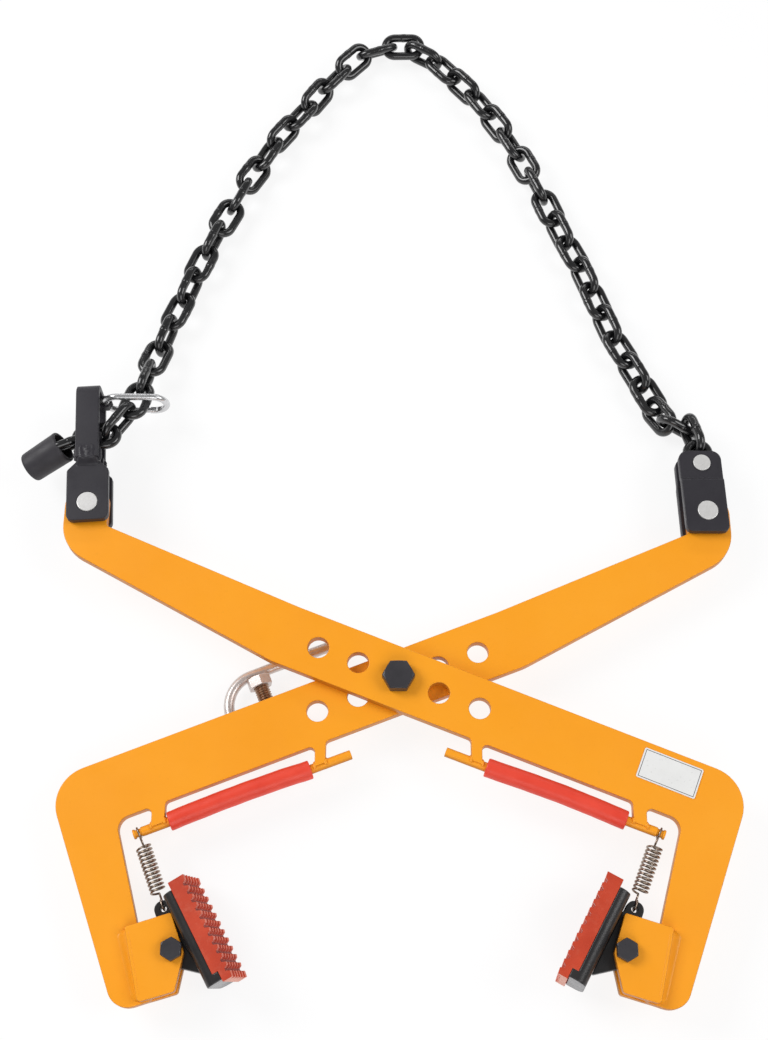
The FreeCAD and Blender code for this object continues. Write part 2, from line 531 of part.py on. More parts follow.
# ---------------------------------------------------------------------------
# carabiner: body, gate, gate pin (plane XZ)
# ---------------------------------------------------------------------------
th = math.radians(HEAD_TILT)
CX0 = -EAR_X + EYE_AT[0] * math.cos(th) - EYE_AT[1] * math.sin(th) + CARAB_R
CY = EAR_Y + EYE_AT[0] * math.sin(th) + EYE_AT[1] * math.cos(th)
CX1 = CX0 + CARAB_STRAIGHT
tor = Part.makeTorus(CARAB_R, CARAB_WIRE, V(CX0, CY, CARAB_Z), V(0, 1, 0))
left_end = tor.common(box(CX0 - 30, CX0, CY - 10, CY + 10, CARAB_Z - 30, CARAB_Z + 30))
tor = Part.makeTorus(CARAB_R, CARAB_WIRE, V(CX1, CY, CARAB_Z), V(0, 1, 0))
right_end = tor.common(box(CX1, CX1 + 30, CY - 10, CY + 10, CARAB_Z - 30, CARAB_Z + 30))
body = left_end.fuse(right_end).fuse(cyl(CARAB_WIRE, (CX0, CY, CARAB_Z + CARAB_R), (1, 0, 0), CARAB_STRAIGHT))
NOSE = 5.0
body = body.fuse(cyl(CARAB_WIRE, (CX0, CY, CARAB_Z - CARAB_R), (1, 0, 0), NOSE))
HINGE_X = CX1 - 0.6
body = body.fuse(cyl(CARAB_WIRE, (CX1 - 3.4, CY, CARAB_Z - CARAB_R), (1, 0, 0), 3.4))
body = body.cut(box(CX1 - 5, CX1 + 3.6, CY - 1.7, CY + 1.7, CARAB_Z - CARAB_R - 5, CARAB_Z - CARAB_R + 5))
gate_pin = cyl(1.0, (HINGE_X, CY - 2.9, CARAB_Z - CARAB_R), (0, 1, 0), 5.8)
put("carabiner_body", one(body.cut(gate_pin)))
put("gate_pin", gate_pin)
gx0 = CX0 + NOSE + 0.5
gate = cyl(GATE_R, (gx0, CY, CARAB_Z - CARAB_R), (1, 0, 0), CX1 - 4.3 - gx0)
tongue = box(CX1 - 6.0, HINGE_X, CY - 1.3, CY + 1.3, CARAB_Z - CARAB_R - 2.0, CARAB_Z - CARAB_R + 2.0)
tongue = tongue.fuse(cyl(2.0, (HINGE_X, CY - 1.3, CARAB_Z - CARAB_R), (0, 1, 0), 2.6))
gate = gate.fuse(tongue).cut(cyl(1.0 + RUN_FIT, (HINGE_X, CY - 5, CARAB_Z - CARAB_R), (0, 1, 0), 10))
put("carabiner_gate", one(gate))

# ---------------------------------------------------------------------------
# chain
# ---------------------------------------------------------------------------
LR = LINK_IN_W / 2 + LINK_WIRE / 2
LS = LINK_PITCH - LINK_IN_W
big = Part.makeTorus(LR, LINK_WIRE / 2)
hr = big.common(box(0, 30, -30, 30, -10, 10))
hr.translate(V(LS / 2, 0, 0))
hl = big.common(box(-30, 0, -30, 30, -10, 10))
hl.translate(V(-LS / 2, 0, 0))
LINK = one(hr.fuse(hl).fuse(cyl(LINK_WIRE / 2, (-LS / 2, LR, 0), (1, 0, 0), LS)).fuse(
    cyl(LINK_WIRE / 2, (-LS / 2, -LR, 0), (1, 0, 0), LS)))


def link(row):
    x, y, z, dx, dy, dz, roll = row
    d = V(dx, dy, dz)
    d.normalize()
    s = V(0, 0, 1).cross(d)
    s.normalize()
    u = d.cross(s)
    r = math.radians(roll)
    w = s * math.cos(r) + u * math.sin(r)
    n = d.cross(w)
    m = FreeCAD.Matrix(d.x, w.x, n.x, x, d.y, w.y, n.y, y, d.z, w.z, n.z, z, 0, 0, 0, 1)
    q = LINK.copy()
    q.Placement = FreeCAD.Placement(m)
    return q


def links(name, rows):
    put(name, Part.makeCompound([link(q) for q in rows]) if len(rows) > 1 else link(rows[0]))


links("chain_right_a", CHAIN_RIGHT[0:5])
links("chain_right_b", CHAIN_RIGHT[5:10])
links("chain_right_c", CHAIN_RIGHT[10:15])
links("chain_right_d", CHAIN_RIGHT[15:21])
links("chain_left_a", CHAIN_LEFT[0:6])
links("chain_left_b", CHAIN_LEFT[6:13])
links("chain_left_c", CHAIN_LEFT[13:19])
links("head_chain_links", CHAIN_LEFT[19:21])
links("tail_link", [TAIL_LINK])
td = V(*TAIL_LINK[3:6])
td.normalize()
tc = V(*TAIL_LINK[0:3])
sd = V(*TAIL_AXIS)
sd.normalize()
mouth = tc + td * 6.0
sl = Part.makeCone(SLEEVE_MOUTH_R, SLEEVE_END_R, SLEEVE_END_L, mouth, sd)
sl = sl.cut(Part.makeCylinder(SLEEVE_MOUTH_R - 3.0, 9.0, mouth, sd))
sl = sl.cut(parts["tail_link"])
sl = sorted(sl.Solids, key=lambda q: -q.Volume)[0]
put("tail_sleeve", sl)

# ---------------------------------------------------------------------------
# shift to the shared origin (middle of the outer box, on the floor) and write
# ---------------------------------------------------------------------------
os.makedirs("parts", exist_ok=True)
lo = [1e9, 1e9, 1e9]
hi = [-1e9, -1e9, -1e9]
for s in parts.values():
    b = s.optimalBoundingBox(False, False)
    lo = [min(lo[0], b.XMin), min(lo[1], b.YMin), min(lo[2], b.ZMin)]
    hi = [max(hi[0], b.XMax), max(hi[1], b.YMax), max(hi[2], b.ZMax)]
SHIFT = V(-(lo[0] + hi[0]) / 2, -(lo[1] + hi[1]) / 2, -lo[2])
print("SHIFT", SHIFT.x, SHIFT.y, SHIFT.z, "BOX", [round(h - l, 2) for h, l in zip(hi, lo)])
for name, s in parts.items():
    t = s.copy()
    t.translate(SHIFT)
    if not t.isValid() or t.Volume <= 0:
        print("CHECK", name, t.isValid(), t.Volume, t.ShapeType)
    t.exportStep("parts/" + name + ".step")
print("nodes", len(parts))
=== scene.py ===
import bpy, bmesh, math, json, random
import numpy as np
from mathutils import Vector, Matrix, noise


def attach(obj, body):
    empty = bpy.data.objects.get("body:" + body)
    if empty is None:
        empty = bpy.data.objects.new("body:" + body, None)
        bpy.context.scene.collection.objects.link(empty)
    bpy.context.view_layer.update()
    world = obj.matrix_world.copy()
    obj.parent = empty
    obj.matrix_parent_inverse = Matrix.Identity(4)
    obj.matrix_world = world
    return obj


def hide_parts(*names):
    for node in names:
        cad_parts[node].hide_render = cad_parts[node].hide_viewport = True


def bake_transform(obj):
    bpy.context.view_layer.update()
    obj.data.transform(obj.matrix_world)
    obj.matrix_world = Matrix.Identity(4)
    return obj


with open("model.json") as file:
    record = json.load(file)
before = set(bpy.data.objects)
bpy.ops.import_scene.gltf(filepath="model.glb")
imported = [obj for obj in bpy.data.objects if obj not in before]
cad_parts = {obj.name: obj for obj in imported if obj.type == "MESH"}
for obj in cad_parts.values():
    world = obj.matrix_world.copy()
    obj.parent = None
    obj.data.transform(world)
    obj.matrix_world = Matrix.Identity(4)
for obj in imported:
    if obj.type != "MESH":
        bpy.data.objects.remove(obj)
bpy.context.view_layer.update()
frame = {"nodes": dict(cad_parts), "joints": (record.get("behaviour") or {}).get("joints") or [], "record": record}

NODES = frame["nodes"]
JOINT = {j["name"]: j for j in frame["joints"]}
PIV = Vector(JOINT["scissor"]["pos_m"]) - Vector((0, 0, 0.041))
SC = bpy.context.scene


def mm(x, y, z):
    """Working coordinates (mm, pivot axis at 0,0) to the shared frame (m)."""
    return PIV + Vector((x, y, z)) * 0.001


# ---------------------------------------------------------------------------
# materials
# ---------------------------------------------------------------------------
def new_mat(name):
    m = bpy.data.materials.new(name)
    m.use_nodes = True
    nt = m.node_tree
    return m, nt, nt.nodes["Principled BSDF"]


def nd(nt, kind, **kw):
    n = nt.nodes.new(kind)
    for k, v in kw.items():
        if k.startswith("_"):
            setattr(n, k[1:], v)
        else:
            n.inputs[k].default_value = v
    return n


def lk(nt, a, b):
    nt.links.new(a, b)


def coords(nt, scale=(1, 1, 1)):
    tc = nd(nt, "ShaderNodeTexCoord")
    mp = nd(nt, "ShaderNodeMapping")
    mp.inputs["Scale"].default_value = scale
    lk(nt, tc.outputs["Object"], mp.inputs["Vector"])
    return mp.outputs["Vector"]


def noise_tex(nt, vec, scale, detail=4.0, rough=0.55, dist=0.0):
    n = nd(nt, "ShaderNodeTexNoise", Scale=scale, Detail=detail, Roughness=rough, Distortion=dist)
    lk(nt, vec, n.inputs["Vector"])
    return n.outputs["Fac"]


def ramp(nt, fac, stops, interp="LINEAR"):
    r = nd(nt, "ShaderNodeValToRGB")
    r.color_ramp.interpolation = interp
    e = r.color_ramp.elements
    while len(e) > 1:
        e.remove(e[0])
    e[0].position = stops[0][0]
    e[0].color = (*stops[0][1], 1) if len(stops[0][1]) == 3 else stops[0][1]
    for p, c in stops[1:]:
        q = e.new(p)
        q.color = (*c, 1)
    lk(nt, fac, r.inputs["Fac"])
    return r.outputs["Color"]


def rng(nt, val, a, b, c, d):
    m = nd(nt, "ShaderNodeMapRange")
    m.inputs["From Min"].default_value = a
    m.inputs["From Max"].default_value = b
    m.inputs["To Min"].default_value = c
    m.inputs["To Max"].default_value = d
    lk(nt, val, m.inputs["Value"])
    return m.outputs["Result"]


def mixc(nt, fac, a, b):
    m = nd(nt, "ShaderNodeMix", _data_type="RGBA")
    lk(nt, fac, m.inputs["Factor"])
    for s, v in ((6, a), (7, b)):
        if isinstance(v, (tuple, list)):
            m.inputs[s].default_value = (*v, 1)
        else:
            lk(nt, v, m.inputs[s])
    return m.outputs[2]


def mul(nt, a, b, op="MULTIPLY"):
    m = nd(nt, "ShaderNodeMath", _operation=op)
    for i, v in enumerate((a, b)):
        if isinstance(v, (int, float)):
            m.inputs[i].default_value = v
        else:
            lk(nt, v, m.inputs[i])
    return m.outputs[0]


def bump(nt, bsdf, height, strength, dist, prev=None):
    b = nd(nt, "ShaderNodeBump", Strength=strength, Distance=dist)
    lk(nt, height, b.inputs["Height"])
    if prev is not None:
        lk(nt, prev, b.inputs["Normal"])
    lk(nt, b.outputs["Normal"], bsdf.inputs["Normal"])
    return b.outputs["Normal"]


def edge_mask(nt, radius, lo=0.02, hi=0.25):
    """1 on convex and concave edges, 0 on flats."""
    bv = nd(nt, "ShaderNodeBevel", Radius=radius)
    bv.samples = 4
    g = nd(nt, "ShaderNodeNewGeometry")
    d = nd(nt, "ShaderNodeVectorMath", _operation="DOT_PRODUCT")
    lk(nt, bv.outputs["Normal"], d.inputs[0])
    lk(nt, g.outputs["Normal"], d.inputs[1])
    return rng(nt, d.outputs["Value"], 1 - lo, 1 - hi, 0.0, 1.0)


def facing(nt, direction, lo, hi):
    """1 on faces that look along a direction of the object, 0 elsewhere."""
    tc = nd(nt, "ShaderNodeTexCoord")
    d = nd(nt, "ShaderNodeVectorMath", _operation="DOT_PRODUCT")
    lk(nt, tc.outputs["Normal"], d.inputs[0])
    d.inputs[1].default_value = direction
    return rng(nt, d.outputs["Value"], lo, hi, 0.0, 1.0)


def upright(nt, lo, hi):
    """1 on faces that stand on edge, 0 on the flats of a plate."""
    tc = nd(nt, "ShaderNodeTexCoord")
    sp = nd(nt, "ShaderNodeSeparateXYZ")
    lk(nt, tc.outputs["Normal"], sp.inputs[0])
    return rng(nt, mul(nt, sp.outputs["Z"], 0.0, "ABSOLUTE"), lo, hi, 1.0, 0.0)


def paint(name, c_lo, c_mid, c_hi, rough=(0.28, 0.4), wear=None, wear_amount=0.5, peel=0.06, coat=0.0, spec=0.5, patch=7.0, end=None, end_col=None, side=None, side_shade_amount=0.7, speck=0.35):
    m, nt, b = new_mat(name)
    v = coords(nt)
    big = noise_tex(nt, v, patch, 5.0, 0.6)
    fine = noise_tex(nt, v, 180.0, 3.0, 0.5)
    col = ramp(nt, big, [(0.25, c_lo), (0.5, c_mid), (0.75, c_hi)])
    spk = rng(nt, noise_tex(nt, v, 420.0, 2.0, 0.5), 0.66, 0.72, 0.0, speck)
    col = mixc(nt, spk, col, tuple(x * 0.72 for x in c_lo))
    if wear is not None:
        e = edge_mask(nt, 0.0011)
        brk = rng(nt, noise_tex(nt, v, 95.0, 6.0, 0.7), 0.5, 0.62, 0.0, 1.0)
        w = mul(nt, mul(nt, e, brk), wear_amount)
        col = mixc(nt, w, col, wear)
    # painted shade: faces standing on edge are mixed toward the side colour, with noise varying the shade's strength
    if side is not None:
        side_shade_strength = rng(nt, noise_tex(nt, v, 28.0, 5.0, 0.6), 0.3, 0.7, side_shade_amount * 0.75, side_shade_amount)
        col = mixc(nt, mul(nt, upright(nt, 0.25, 0.85), side_shade_strength), col, side)
    if end is not None:
        # the end face that looks along end takes a paler tone from end_col
        end_face_tone = ramp(nt, noise_tex(nt, coords(nt, (1, 1, 6)), 160.0, 5.0, 0.65), [(0.3, tuple(x * 0.8 for x in end_col)), (0.7, end_col)])
        col = mixc(nt, facing(nt, end, 0.80, 0.93), col, end_face_tone)
    lk(nt, col, b.inputs["Base Color"])
    lk(nt, rng(nt, noise_tex(nt, v, 35.0, 4.0, 0.6), 0.3, 0.7, rough[0], rough[1]), b.inputs["Roughness"])
    b.inputs["Specular IOR Level"].default_value = spec
    if coat:
        b.inputs["Coat Weight"].default_value = coat
        b.inputs["Coat Roughness"].default_value = 0.18
    n1 = bump(nt, b, noise_tex(nt, v, 650.0, 2.0, 0.5), peel, 0.0004)
    bump(nt, b, noise_tex(nt, v, 60.0, 3.0, 0.5), peel * 0.8, 0.0015, n1)
    return m


def metal(name, base, dark, rough=(0.18, 0.34), brush=(1, 1, 1), brush_scale=500.0, stain=0.35, bumps=0.08, stain_col=None, metallic=1.0):
    m, nt, b = new_mat(name)
    v = coords(nt)
    vb = coords(nt, brush)
    n = noise_tex(nt, vb, brush_scale, 4.0, 0.6)
    s = noise_tex(nt, v, 55.0, 6.0, 0.65)
    col = mixc(nt, rng(nt, n, 0.3, 0.7, 0.0, 0.5), base, dark)
    col = mixc(nt, rng(nt, s, 0.5, 0.72, 0.0, stain), col, stain_col or dark)
    lk(nt, col, b.inputs["Base Color"])
    b.inputs["Metallic"].default_value = metallic
    lk(nt, rng(nt, s, 0.3, 0.7, rough[0], rough[1]), b.inputs["Roughness"])
    bump(nt, b, n, bumps, 0.0003)
    return m


def rubber(name, c_lo, c_hi, rough=(0.5, 0.68), grain=700.0, strength=0.18, dust=None, spec=0.35, end=None, end_col=None):
    m, nt, b = new_mat(name)
    v = coords(nt)
    col = ramp(nt, noise_tex(nt, v, 42.0, 5.0, 0.6), [(0.3, c_lo), (0.7, c_hi)])
    if dust is not None:
        d = rng(nt, noise_tex(nt, v, 120.0, 6.0, 0.7), 0.52, 0.75, 0.0, 0.5)
        col = mixc(nt, d, col, dust)
    # painted highlight: the end face that looks along end is painted paler, a sheen
    if end is not None:
        painted_end_sheen = ramp(nt, noise_tex(nt, v, 210.0, 5.0, 0.65), [(0.3, tuple(x * 0.9 for x in end_col)), (0.7, end_col)])
        col = mixc(nt, facing(nt, end, 0.80, 0.93), col, painted_end_sheen)
    lk(nt, col, b.inputs["Base Color"])
    lk(nt, rng(nt, noise_tex(nt, v, 90.0, 4.0, 0.6), 0.3, 0.7, rough[0], rough[1]), b.inputs["Roughness"])
    b.inputs["Specular IOR Level"].default_value = spec
    n1 = bump(nt, b, noise_tex(nt, v, grain, 3.0, 0.6), strength, 0.0005)
    bump(nt, b, noise_tex(nt, v, 70.0, 3.0, 0.6), strength * 0.8, 0.0016, n1)
    return m


M = {}
# side= is a painted shade on the plates' edge faces
M["orange_paint"] = paint("orange_paint", (0.92, 0.335, 0.011), (0.955, 0.360, 0.013), (0.975, 0.385, 0.017), (0.36, 0.48), wear=(0.42, 0.15, 0.02), wear_amount=0.3, peel=0.05, coat=0.05, spec=0.28, side=(0.40, 0.125, 0.010), side_shade_amount=0.8, speck=0.10)
M["orange_weld"] = paint("orange_weld", (0.90, 0.325, 0.011), (0.94, 0.350, 0.013), (0.965, 0.375, 0.017), (0.34, 0.46), peel=0.10, coat=0.05, spec=0.32, speck=0.12, patch=30.0)
M["head_black_paint"] = paint("head_black_paint", (0.0165, 0.0152, 0.0200), (0.0230, 0.0210, 0.0275), (0.0320, 0.0290, 0.0370), (0.36, 0.52), wear=(0.15, 0.145, 0.14), wear_amount=0.5, peel=0.10, spec=0.45)
for side_, q_ in (("left", 0.4879), ("right", -0.4879)):
    M[side_ + "_bar_paint"] = paint(side_ + "_bar_paint", (0.011, 0.010, 0.011), (0.017, 0.016, 0.017), (0.028, 0.025, 0.025), (0.26, 0.42), wear=(0.20, 0.18, 0.17), wear_amount=0.7, peel=0.12, patch=30.0,
                                    end=(q_, -0.8729, 0.0), end_col=(0.21, 0.21, 0.22))
    # the pads' lower end faces get a painted sheen through end and end_col
    M[side_ + "_pad_red"] = rubber(side_ + "_pad_red", (0.49, 0.043, 0.014), (0.59, 0.061, 0.022), (0.42, 0.60), dust=(0.60, 0.13, 0.075),
                                   end=(q_, -0.8729, 0.0), end_col=(0.80, 0.36, 0.27))
M["pad_black_paint"] = paint("pad_black_paint", (0.010, 0.009, 0.010), (0.015, 0.014, 0.015), (0.026, 0.023, 0.023), (0.30, 0.46), wear=(0.18, 0.16, 0.15), wear_amount=0.6, peel=0.12, patch=30.0)
M["black_fastener"] = paint("black_fastener", (0.025, 0.0235, 0.0275), (0.034, 0.0315, 0.037), (0.045, 0.0415, 0.048), (0.30, 0.46), wear=(0.09, 0.085, 0.085), wear_amount=0.5, peel=0.06, patch=60.0)
M["chain_black"] = paint("chain_black", (0.004, 0.004, 0.005), (0.007, 0.007, 0.008), (0.012, 0.012, 0.013), (0.14, 0.26), wear=(0.07, 0.068, 0.068), wear_amount=0.25, peel=0.05, coat=0.45, patch=45.0, spec=0.55)
M["zinc_steel"] = metal("zinc_steel", (0.80, 0.79, 0.78), (0.64, 0.63, 0.62), (0.26, 0.42), metallic=0.38)
M["stop_steel"] = metal("stop_steel", (0.70, 0.66, 0.645), (0.52, 0.475, 0.455), (0.26, 0.40), stain=0.4, stain_col=(0.46, 0.36, 0.31), metallic=0.55)
M["thread_steel"] = metal("thread_steel", (0.40, 0.26, 0.17), (0.20, 0.12, 0.08), (0.28, 0.45), stain=0.5, stain_col=(0.16, 0.085, 0.05))
M["spring_steel"] = metal("spring_steel", (0.40, 0.33, 0.27), (0.16, 0.115, 0.085), (0.16, 0.30), stain=0.6, stain_col=(0.13, 0.075, 0.05))
M["bright_steel"] = metal("bright_steel", (0.70, 0.70, 0.71), (0.50, 0.50, 0.51), (0.18, 0.30), stain=0.3, metallic=0.85)
# darker red for the floors between the teeth: painted shade
M["pad_gap_shade"] = rubber("pad_gap_shade", (0.22, 0.018, 0.008), (0.30, 0.028, 0.013), (0.55, 0.75))
# lighter red for the tooth tops: dust and painted highlight
M["pad_tip_dust_and_highlight"] = rubber("pad_tip_dust_and_highlight", (0.66, 0.115, 0.055), (0.76, 0.170, 0.090), (0.42, 0.60))
M["sleeve_red"] = rubber("sleeve_red", (0.77, 0.050, 0.024), (0.85, 0.068, 0.034), (0.34, 0.5), grain=900.0, strength=0.10, spec=0.45)
M["rubber_black"] = rubber("rubber_black", (0.028, 0.026, 0.031), (0.042, 0.039, 0.046), (0.42, 0.56), strength=0.12)
M["plate_white"] = paint("plate_white", (0.77, 0.77, 0.76), (0.81, 0.81, 0.80), (0.84, 0.84, 0.83), (0.34, 0.46), wear=(0.35, 0.34, 0.33), wear_amount=0.5, peel=0.03, patch=60.0, spec=0.3)

SLOT = {s["node"]: s["material_slot"] for s in frame["record"]["subparts"]}


def dress(obj, mat):
    obj.data.materials.clear()
    obj.data.materials.append(mat)


OWN = {"left_pad_holder": "left_bar_paint", "right_pad_holder": "right_bar_paint", "left_grip_pad": "left_pad_red", "right_grip_pad": "right_pad_red",
       "stop_rod": "stop_steel", "stop_post": "stop_steel", "stop_nut": "stop_steel"}
for name, o in NODES.items():
    dress(o, M[OWN.get(name, SLOT[name])])


# ---------------------------------------------------------------------------
# mesh helpers (all sizes in mm, working coordinates)
# ---------------------------------------------------------------------------
class Geo:
    def __init__(self):
        self.v, self.f, self.m = [], [], []

    def add(self, verts, faces, mat=0):
        k = len(self.v)
        self.v += [tuple(p) for p in verts]
        self.f += [[i + k for i in q] for q in faces]
        self.m += [mat] * len(faces)


def frames(pts, closed=False, ref=None):
    """Tangent and two normals carried along a line without twist."""
    n = len(pts)
    tan = []
    for i in range(n):
        a = pts[(i - 1) % n] if (closed or i > 0) else pts[0]
        b = pts[(i + 1) % n] if (closed or i < n - 1) else pts[-1]
        tan.append((b - a).normalized())
    u = Vector(ref) if ref is not None else (Vector((0, 0, 1)) if abs(tan[0].z) < 0.9 else Vector((1, 0, 0)))
    u = (u - tan[0] * u.dot(tan[0])).normalized()
    us = [u]
    for i in range(1, n):
        r = tan[i - 1].rotation_difference(tan[i])
        u = r @ us[-1]
        us.append((u - tan[i] * u.dot(tan[i])).normalized())
    if closed:
        e = tan[-1].rotation_difference(tan[0]) @ us[-1]
        ang = math.atan2(e.cross(us[0]).dot(tan[0]), e.dot(us[0]))
        us = [Matrix.Rotation(ang * i / n, 3, tan[i]) @ us[i] for i in range(n)]
    return tan, us, [t.cross(q) for t, q in zip(tan, us)]


def tube(g, pts, rad, sides=12, closed=False, ref=None, mat=0, round_end=True, rfun=None):
    pts = [Vector(p) for p in pts]
    n = len(pts)
    rads = list(rad) if isinstance(rad, (list, tuple)) else [rad] * n
    tan, us, ws = frames(pts, closed, ref)
    if not closed and round_end:
        r0, r1 = rads[0], rads[-1]
        pts = [pts[0] + tan[0] * r0 * 0.02, pts[0] + tan[0] * r0 * 0.12] + [pts[0] + tan[0] * r0 * 0.3] + pts[1:-1] + [
            pts[-1] - tan[-1] * r1 * 0.3, pts[-1] - tan[-1] * r1 * 0.12, pts[-1] - tan[-1] * r1 * 0.02]
        rads = [r0 * 0.72, r0 * 0.92, r0] + rads[1:-1] + [r1, r1 * 0.92, r1 * 0.72]
        tan = [tan[0]] * 2 + tan + [tan[-1]] * 2
        us = [us[0]] * 2 + us + [us[-1]] * 2
        ws = [ws[0]] * 2 + ws + [ws[-1]] * 2
        n = len(pts)
    v = []
    for i in range(n):
        for j in range(sides):
            a = 2 * math.pi * j / sides
            r = rads[i] * (rfun(i, a) if rfun else 1.0)
            v.append(pts[i] + us[i] * (r * math.cos(a)) + ws[i] * (r * math.sin(a)))
    f = []
    for i in range(n if closed else n - 1):
        k = (i + 1) % n
        for j in range(sides):
            l = (j + 1) % sides
            f.append([i * sides + j, i * sides + l, k * sides + l, k * sides + j])
    if not closed:
        f.append([j for j in range(sides)][::-1])
        f.append([(n - 1) * sides + j for j in range(sides)])
    g.add(v, f, mat)


def lathe(g, base, axis, prof, sides=40, mat=0, wob=0.0, seed=0, ref=None):
    """Turned piece: prof is (radius, distance along axis) from end to end; a radius of 0 closes it."""
    base, axis = Vector(base), Vector(axis).normalized()
    u = Vector(ref) if ref is not None else (Vector((0, 0, 1)) if abs(axis.z) < 0.9 else Vector((1, 0, 0)))
    u = (u - axis * u.dot(axis)).normalized()
    w = axis.cross(u)
    v, f, rows = [], [], []
    for r, h in prof:
        if r <= 1e-9:
            rows.append([len(v)]); v.append(base + axis * h)
            continue
        row = []
        for j in range(sides):
            a = 2 * math.pi * j / sides
            p = base + axis * h + (u * math.cos(a) + w * math.sin(a)) * r
            if wob:
                p = p + (u * math.cos(a) + w * math.sin(a)) * (wob * noise.noise(p * 0.13 + Vector((seed, seed, seed))))
            row.append(len(v)); v.append(p)
        rows.append(row)
    for a, b in zip(rows, rows[1:]):
        if len(a) == 1 and len(b) == 1:
            continue
        for j in range(sides):
            l = (j + 1) % sides
            if len(a) == 1:
                f.append([a[0], b[l], b[j]])
            elif len(b) == 1:
                f.append([a[j], a[l], b[0]])
            else:
                f.append([a[j], a[l], b[l], b[j]])
    g.add(v, f, mat)


def finish_obj(g, name, mats, body, replaces=(), sharp=35, bevel=0.0, segs=2):
    me = bpy.data.meshes.new(name)
    me.from_pydata([mm(*p) for p in g.v], [], g.f)
    for q, k in zip(me.polygons, g.m):
        q.material_index = k
        q.use_smooth = True
    bm = bmesh.new()
    bm.from_mesh(me)
    bmesh.ops.recalc_face_normals(bm, faces=bm.faces)
    bm.to_mesh(me)
    bm.free()
    for m in (mats if isinstance(mats, (list, tuple)) else [mats]):
        me.materials.append(m)
    o = bpy.data.objects.new(name, me)
    SC.collection.objects.link(o)
    if bevel:
        b = o.modifiers.new("bevel", "BEVEL")
        b.width, b.segments, b.limit_method, b.angle_limit = bevel * 0.001, segs, "ANGLE", math.radians(sharp)
        b.harden_normals = False
        o.modifiers.new("normals", "WEIGHTED_NORMAL")
    else:
        me.set_sharp_from_angle(angle=math.radians(sharp))
    if isinstance(body, str):
        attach(o, body)
    if replaces:
        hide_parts(*replaces)
    return o


def soften(name, width, segs=2, angle=30):
    """Rounded edges and even shading on a CAD node."""
    o = NODES[name]
    w = o.modifiers.new("weld", "WELD")
    w.merge_threshold = 2e-6
    d = o.modifiers.new("planar", "DECIMATE")
    d.decimate_type = "DISSOLVE"
    d.angle_limit = math.radians(0.4)
    b = o.modifiers.new("bevel", "BEVEL")
    b.width, b.segments, b.limit_method, b.angle_limit = width * 0.001, segs, "ANGLE", math.radians(angle)
    b.use_clamp_overlap = False
    b.loop_slide = False
    b.miter_outer = "MITER_ARC"
    o.modifiers.new("normals", "WEIGHTED_NORMAL")


# ---------------------------------------------------------------------------
# painted plates and turned parts: rounded edges on the CAD solids
# ---------------------------------------------------------------------------
for n_, w_ in (("back_arm", 0.9), ("front_arm", 0.9), ("left_cheek_front", 0.8), ("left_cheek_back", 0.8),
               ("right_cheek_front", 0.8), ("right_cheek_back", 0.8), ("right_clevis_front", 0.9), ("right_clevis_back", 0.9),
               ("left_head_front", 0.9), ("left_head_back", 0.9), ("head_stirrup", 0.8), ("left_pad_lug", 0.7), ("right_pad_lug", 0.7),
               ("stop_boss", 0.8), ("blank_plate", 0.2), ("pivot_bolt", 0.5), ("pivot_nut", 0.5), ("pivot_washer", 0.4),
               ("left_jaw_bolt", 0.4), ("right_jaw_bolt", 0.4), ("left_jaw_nut", 0.4), ("right_jaw_nut", 0.4), ("stop_nut", 0.4),
               ("stop_post", 0.5), ("right_arm_pin", 0.7), ("left_arm_pin", 0.7), ("right_chain_pin", 0.5), ("keeper_eye", 0.7),
               ("left_pad_holder", 1.0), ("right_pad_holder", 1.0), ("left_rest_rod", 0.4), ("right_rest_rod", 0.4), ("stop_rod", 0.5)):
    soften(n_, w_)

# ---------------------------------------------------------------------------
# chain
# ---------------------------------------------------------------------------
LINK_WIRE, LINK_PITCH, LINK_IN_W = 8.0, 29.0, 11.5
LR = LINK_IN_W / 2 + LINK_WIRE / 2
LS = LINK_PITCH - LINK_IN_W
CHAIN_RIGHT = [
    (270.20, 208.00, 30.00, 0.0000, 1.0000, 0.0000, 0.0),
    (267.30, 236.21, 28.02, -0.1974, 0.9465, -0.2552, -74.6),
    (256.87, 247.42, 20.04, -0.8688, 0.2982, 0.3953, 74.7),
    (241.06, 262.08, 14.71, -0.4222, 0.8474, -0.3218, -50.6),
    (232.81, 284.43, 12.50, -0.4560, 0.8892, 0.0370, 7.2),
    (220.62, 308.19, 13.22, -0.4385, 0.8987, -0.0071, -61.7),
    (209.72, 333.20, 13.10, -0.4555, 0.8902, -0.0029, 19.2),
    (198.54, 359.37, 12.78, -0.3411, 0.9397, 0.0265, -60.9),
    (189.20, 386.25, 13.11, -0.3369, 0.9414, 0.0133, 21.5),
    (179.45, 413.06, 13.19, -0.3323, 0.9431, -0.0112, -63.2),
    (169.09, 439.70, 12.94, -0.4193, 0.9077, 0.0161, 19.8),
    (157.54, 465.79, 13.00, -0.3681, 0.9296, 0.0190, -64.6),
    (147.22, 492.01, 13.28, -0.3528, 0.9357, 0.0056, 6.5),
    (136.24, 517.99, 13.55, -0.3971, 0.9178, -0.0008, 77.6),
    (124.83, 543.95, 12.51, -0.4051, 0.9133, -0.0416, -28.3),
    (112.93, 569.81, 11.77, -0.4502, 0.8929, 0.0106, 47.1),
    (98.67, 594.52, 12.80, -0.5404, 0.8411, 0.0220, -54.5),
    (83.53, 618.70, 12.79, -0.5342, 0.8449, -0.0277, 30.2),
    (65.55, 640.69, 13.14, -0.6700, 0.7415, 0.0344, -62.5),
    (46.21, 661.69, 13.73, -0.6720, 0.7403, 0.0205, 17.0),
    (24.85, 678.78, 14.66, -0.8532, 0.5210, -0.0255, -87.4),
]
